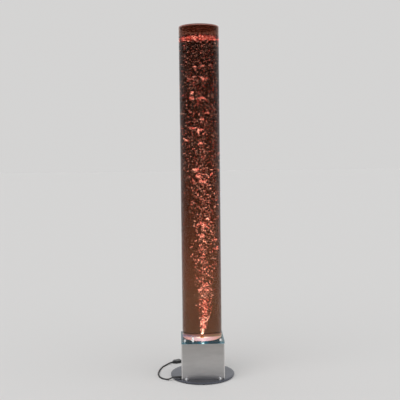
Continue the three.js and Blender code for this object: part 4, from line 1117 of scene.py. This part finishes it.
def makeFoam(foam):
    random.seed(foam["seed"])
    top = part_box("water")[1].z - foam["below"]
    items = []
    for _ in range(foam["count"]):
        reach = foam["reach"] * math.sqrt(random.random())
        at = random.uniform(0, math.tau)
        size = random.uniform(*foam["sizes"])
        x, y = reach * math.cos(at), reach * math.sin(at)
        rise = climb(x, y, waterLook, foam["reach"]) - foam["depth"] * random.random() ** 2
        place = Vector((x, y, top + rise))
        radii = (size, size * random.uniform(*foam["narrow"]), size * foam["flat"])
        heading = Euler((0, 0, random.uniform(0, math.tau)))
        items.append((place, radii, heading, drawKind(foam["shares"])))
    piece = blobs("foam", items, bubbleFinishes, foam["lumps"])
    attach(piece, bodyOf["water"])


makeBubbles(plume)
makeClusters(clusters)
makeFoam(foam)
print("bubbles and foam made")


# Flange plate: clear, with a lit pool on top inside the tube

litFloor = {
    "reach": 0.0944, "thick": 0.0006, "steps": 160, "rings": 24, "strength": 4.6,
    # colours from left to right, in the beam's pool and in the haze behind it
    "pool": [(0.0, (0.12, 0.11, 0.17)), (0.2, (0.36, 0.28, 0.34)), (0.5, (0.44, 0.5, 0.74)),
             (0.8, (0.38, 0.3, 0.36)), (1.0, (0.16, 0.22, 0.19))],
    "haze": [(0.0, (0.04, 0.075, 0.24)), (0.3, (0.1, 0.12, 0.21)), (0.5, (0.2, 0.15, 0.15)),
             (0.7, (0.1, 0.11, 0.08)), (1.0, (0.1, 0.15, 0.13))],
    "farHaze": (0.075, 0.036, 0.03),
    "streaks": [(0.35, (0.82, 0.82, 0.82)), (0.65, (1.0, 1.0, 1.0))],
    "streakScale": 60.0, "streakStretch": (0.25, 1.6, 1.0),
    "poolBack": 0.026, "poolFront": -0.004, "spotWide": 0.034, "spotDeep": 0.02, "spotCore": 0.15,
    "spot": (1.0, 1.0, 1.0),
    "underside": (0.02, 0.05, 0.06),
}

# Glow of the plate's sides. Wide is along the side from its middle, deep is in from the side, tall is up.
plateGlow = {
    "plain": (0.006, 0.02, 0.025),
    "edge": (0.02, 0.032, 0.04), "edgeDeep": (0.004, 0.0006),
    "aura": (0.012, 0.1, 0.14), "auraWide": (0.04, 0.0), "auraDeep": (0.03, 0.0),
    "spot": (0.7, 1.0, 1.0),
    "spotWide": (0.009, 0.003), "spotDeep": (0.003, 0.0006), "spotTall": (0.0085, 0.005),
}


def litFloorMaterial(look):
    made = newMaterial("litFloor", colour=(0.3, 0.3, 0.32), rough=0.3, glowStrength=look["strength"])
    x, y, _ = axes(made)
    across = shareOf(made, x, -look["reach"], look["reach"])
    pool = ramp(made, across, look["pool"])
    haze = ramp(made, across, look["haze"])
    streaks = ramp(made, noiseValue(made, look["streakScale"], 2.0, look["streakStretch"]), look["streaks"])
    haze = blend(made, between(made, y, look["reach"], look["poolBack"]), look["farHaze"], haze)
    lit = blend(made, between(made, y, look["poolBack"], look["poolFront"]), haze, pool)
    lit = blend(made, 1.0, lit, streaks, "MULTIPLY")
    wide = calc(made, "DIVIDE", x, look["spotWide"])
    deep = calc(made, "DIVIDE", y, look["spotDeep"])
    spot = between(made, distance(made, wide, deep), 1.0, look["spotCore"])
    feed(made, "glow", blend(made, spot, lit, look["spot"]))
    return made


# The lamp's light travels in the plate and leaves at its edges, most at the middle of each side.
def plateMaterial(look):
    made = clearMaterial("clearPlate", (0.25, 0.37, 0.4), 0.5, glowStrength=1.0)
    low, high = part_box("flange_plate")
    x, y, z = axes(made)
    along, out = calc(made, "ABSOLUTE", x), calc(made, "ABSOLUTE", y)
    edge = edgeBand(made, calc(made, "MAXIMUM", along, out), high.x, look["edgeDeep"])
    aura = calc(made, "MULTIPLY", between(made, along, *look["auraWide"]),
                edgeBand(made, out, high.x, look["auraDeep"]))
    spot = calc(made, "MULTIPLY", between(made, along, *look["spotWide"]),
                edgeBand(made, out, high.x, look["spotDeep"]))
    start, end = look["spotTall"]
    spot = calc(made, "MULTIPLY", spot, between(made, z, low.z + start, low.z + end))
    glow = blend(made, edge, look["plain"], look["edge"])
    glow = blend(made, aura, glow, look["aura"])
    feed(made, "glow", blend(made, spot, glow, look["spot"]))
    return made


def makeLitFloor(look):
    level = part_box("water")[0].z
    foot, top = level - look["thick"] / 2, level + look["thick"] / 2
    rings = [(0, foot), (look["reach"], foot), *flatRings(look["reach"], look["rings"], top)]
    pool = turn("lit_floor", rings, look["steps"], litFloorMaterial(look))
    pool.data.materials.append(surface("floorUnderside", look["underside"], {"rough": (0.4, 0.6)}))
    for face in pool.data.polygons:
        if face.normal.z < 0.5:
            face.material_index = 1
    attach(pool, bodyOf["flange_plate"])


dress("flange_plate", "clear_plate", plateMaterial(plateGlow), 0.0005)
makeLitFloor(litFloor)


# Air nozzle: a hexagon on a round washer, with a hollow cone above
nozzleShape = {
    "bore": 0.0015, "stem": 0.005, "head": 0.008, "headTall": 0.004, "tip": 0.0026, "edge": 0.0003,
    "gap": 0.0003, "washerEdge": 0.0005, "hexFoot": 0.0012, "hexEdge": 0.0006, "hexShare": 0.93,
    "crownShare": 0.92, "coneRise": 0.85, "coneShares": (0.15, 0.35, 0.6, 0.85, 1.0), "steps": 72,
}


def makeNozzle(shape):
    low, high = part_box("air_nozzle")
    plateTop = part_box("flange_plate")[1].z
    top = high.z - plateTop
    foot = low.z - plateTop
    bore, stem, head, tip = shape["bore"], shape["stem"], shape["head"], shape["tip"]
    gap, edge, corner, shoulder = shape["gap"], shape["edge"], shape["washerEdge"], shape["headTall"]
    hexagon = hexReach(head * shape["hexShare"])
    rise = (top - shoulder) * shape["coneRise"]
    cone = [(tip + (head - tip) * (1 - share) ** 2, shoulder + rise * share)
            for share in shape["coneShares"]]
    rings = [(bore, foot), (stem, foot), (stem, gap), (head - corner, gap), (head, gap + corner),
             (hexagon, shape["hexFoot"]), (hexagon, shoulder - shape["hexEdge"]),
             (head * shape["crownShare"], shoulder), *cone, (tip, top - edge), (tip - edge, top), (bore, top)]
    piece = turn("bubble_nozzle", rings, shape["steps"], finishes["litBrass"], closed=True)
    seat(shift(piece, z=plateTop), "air_nozzle")


makeNozzle(nozzleShape)


# Drain: its fitting, and a fluted knob with a dished end
drain = {
    "grooves": 16, "grooveDepth": 0.0007, "grooveSharpness": 3, "edge": 0.0006, "stem": 0.002, "gap": 0.0003,
    "rimShare": 0.4, "dishShare": 0.3, "steps": 128,
}


def makeDrain(drain):
    dress("drain_body", "drain_fitting", finishes["litSteel"], 0.0002, angle=40)
    low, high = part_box("drain_knob")
    middle = (low + high) / 2
    radius = high.x - middle.x
    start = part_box("drain_body")[1].z + drain["gap"]
    foot = low.z - start
    tall = high.z - start
    edge = drain["edge"]

    def grip(at):
        wave = max(0.0, math.cos(at * drain["grooves"])) ** drain["grooveSharpness"]
        return radius - drain["grooveDepth"] * wave

    rings = [(0, foot), (drain["stem"], foot), (drain["stem"], 0), (radius - 2 * edge, 0),
             (radius - edge, edge / 2), (grip, edge * 1.5), (grip, tall - 2 * edge),
             (radius - edge, tall - edge), (radius - 2 * edge, tall - edge / 4),
             (drain["rimShare"] * radius, tall - edge / 4), (drain["dishShare"] * radius, tall - edge),
             (0, tall - edge)]
    piece = turn("drain_grip", rings, drain["steps"], finishes["litSteel"])
    seat(shift(piece, middle.x, middle.y, start), "drain_knob")


makeDrain(drain)
print("plate, nozzle and drain made")


# Inner pieces keep the model's shape. A slot without a finish of its own is clear.

clearPart = clearMaterial("clearPart", (0.8, 0.84, 0.86), 0.35)
dressed = {name for piece in scene.objects for name in piece.get("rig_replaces", [])}
for node, piece in nodes.items():
    if node not in dressed:
        piece.data.materials.clear()
        piece.data.materials.append(finishes.get(slotOf[node], clearPart))
print("inner pieces finished:", len(nodes) - len(dressed))


# Studio: pale floor, pale surroundings and soft light

studio = {
    "floorColour": (0.676, 0.671, 0.666),
    "floorReach": 60.0,
    "shown": (0.66, 0.655, 0.65),
    "light": (0.6, 0.6, 0.6),
    "suns": [
        # (strength, elevation, azimuth from the front towards the right, angle)
        (0.95, 52.0, -38.0, 50.0),
        (0.55, 56.0, 50.0, 50.0),
    ],
}


def buildStudio(studio):
    world = bpy.data.worlds.new("studio")
    scene.world = world
    world.use_nodes = True
    # metal and glass show the same surroundings as the camera
    rays = addNode(world, "ShaderNodeLightPath").outputs
    seen = calc(world, "MAXIMUM", rays["Is Camera Ray"], rays["Is Glossy Ray"])
    seen = calc(world, "MAXIMUM", seen, rays["Is Transmission Ray"])
    colour = blend(world, seen, studio["light"], studio["shown"])
    world.node_tree.links.new(colour, world.node_tree.nodes["Background"].inputs["Color"])

    reach = studio["floorReach"]
    corners = [(-reach, -reach, 0), (reach, -reach, 0), (reach, reach, 0), (-reach, reach, 0)]
    mesh = bpy.data.meshes.new("floor")
    mesh.from_pydata(corners, [], [(0, 1, 2, 3)])
    made = newMaterial("paleFloor", colour=studio["floorColour"], rough=0.9, gloss=0.1)
    objectOf("floor", mesh, made)
    for number, (strength, elevation, azimuth, angle) in enumerate(studio["suns"]):
        data = bpy.data.lights.new(f"sun{number}", "SUN")
        data.energy = strength
        data.angle = math.radians(angle)
        lamp = bpy.data.objects.new(f"sun{number}", data)
        lamp.rotation_euler = (math.radians(90 - elevation), 0, math.radians(azimuth))
        scene.collection.objects.link(lamp)


buildStudio(studio)
scene.view_settings.view_transform = "Standard"
print("studio built")
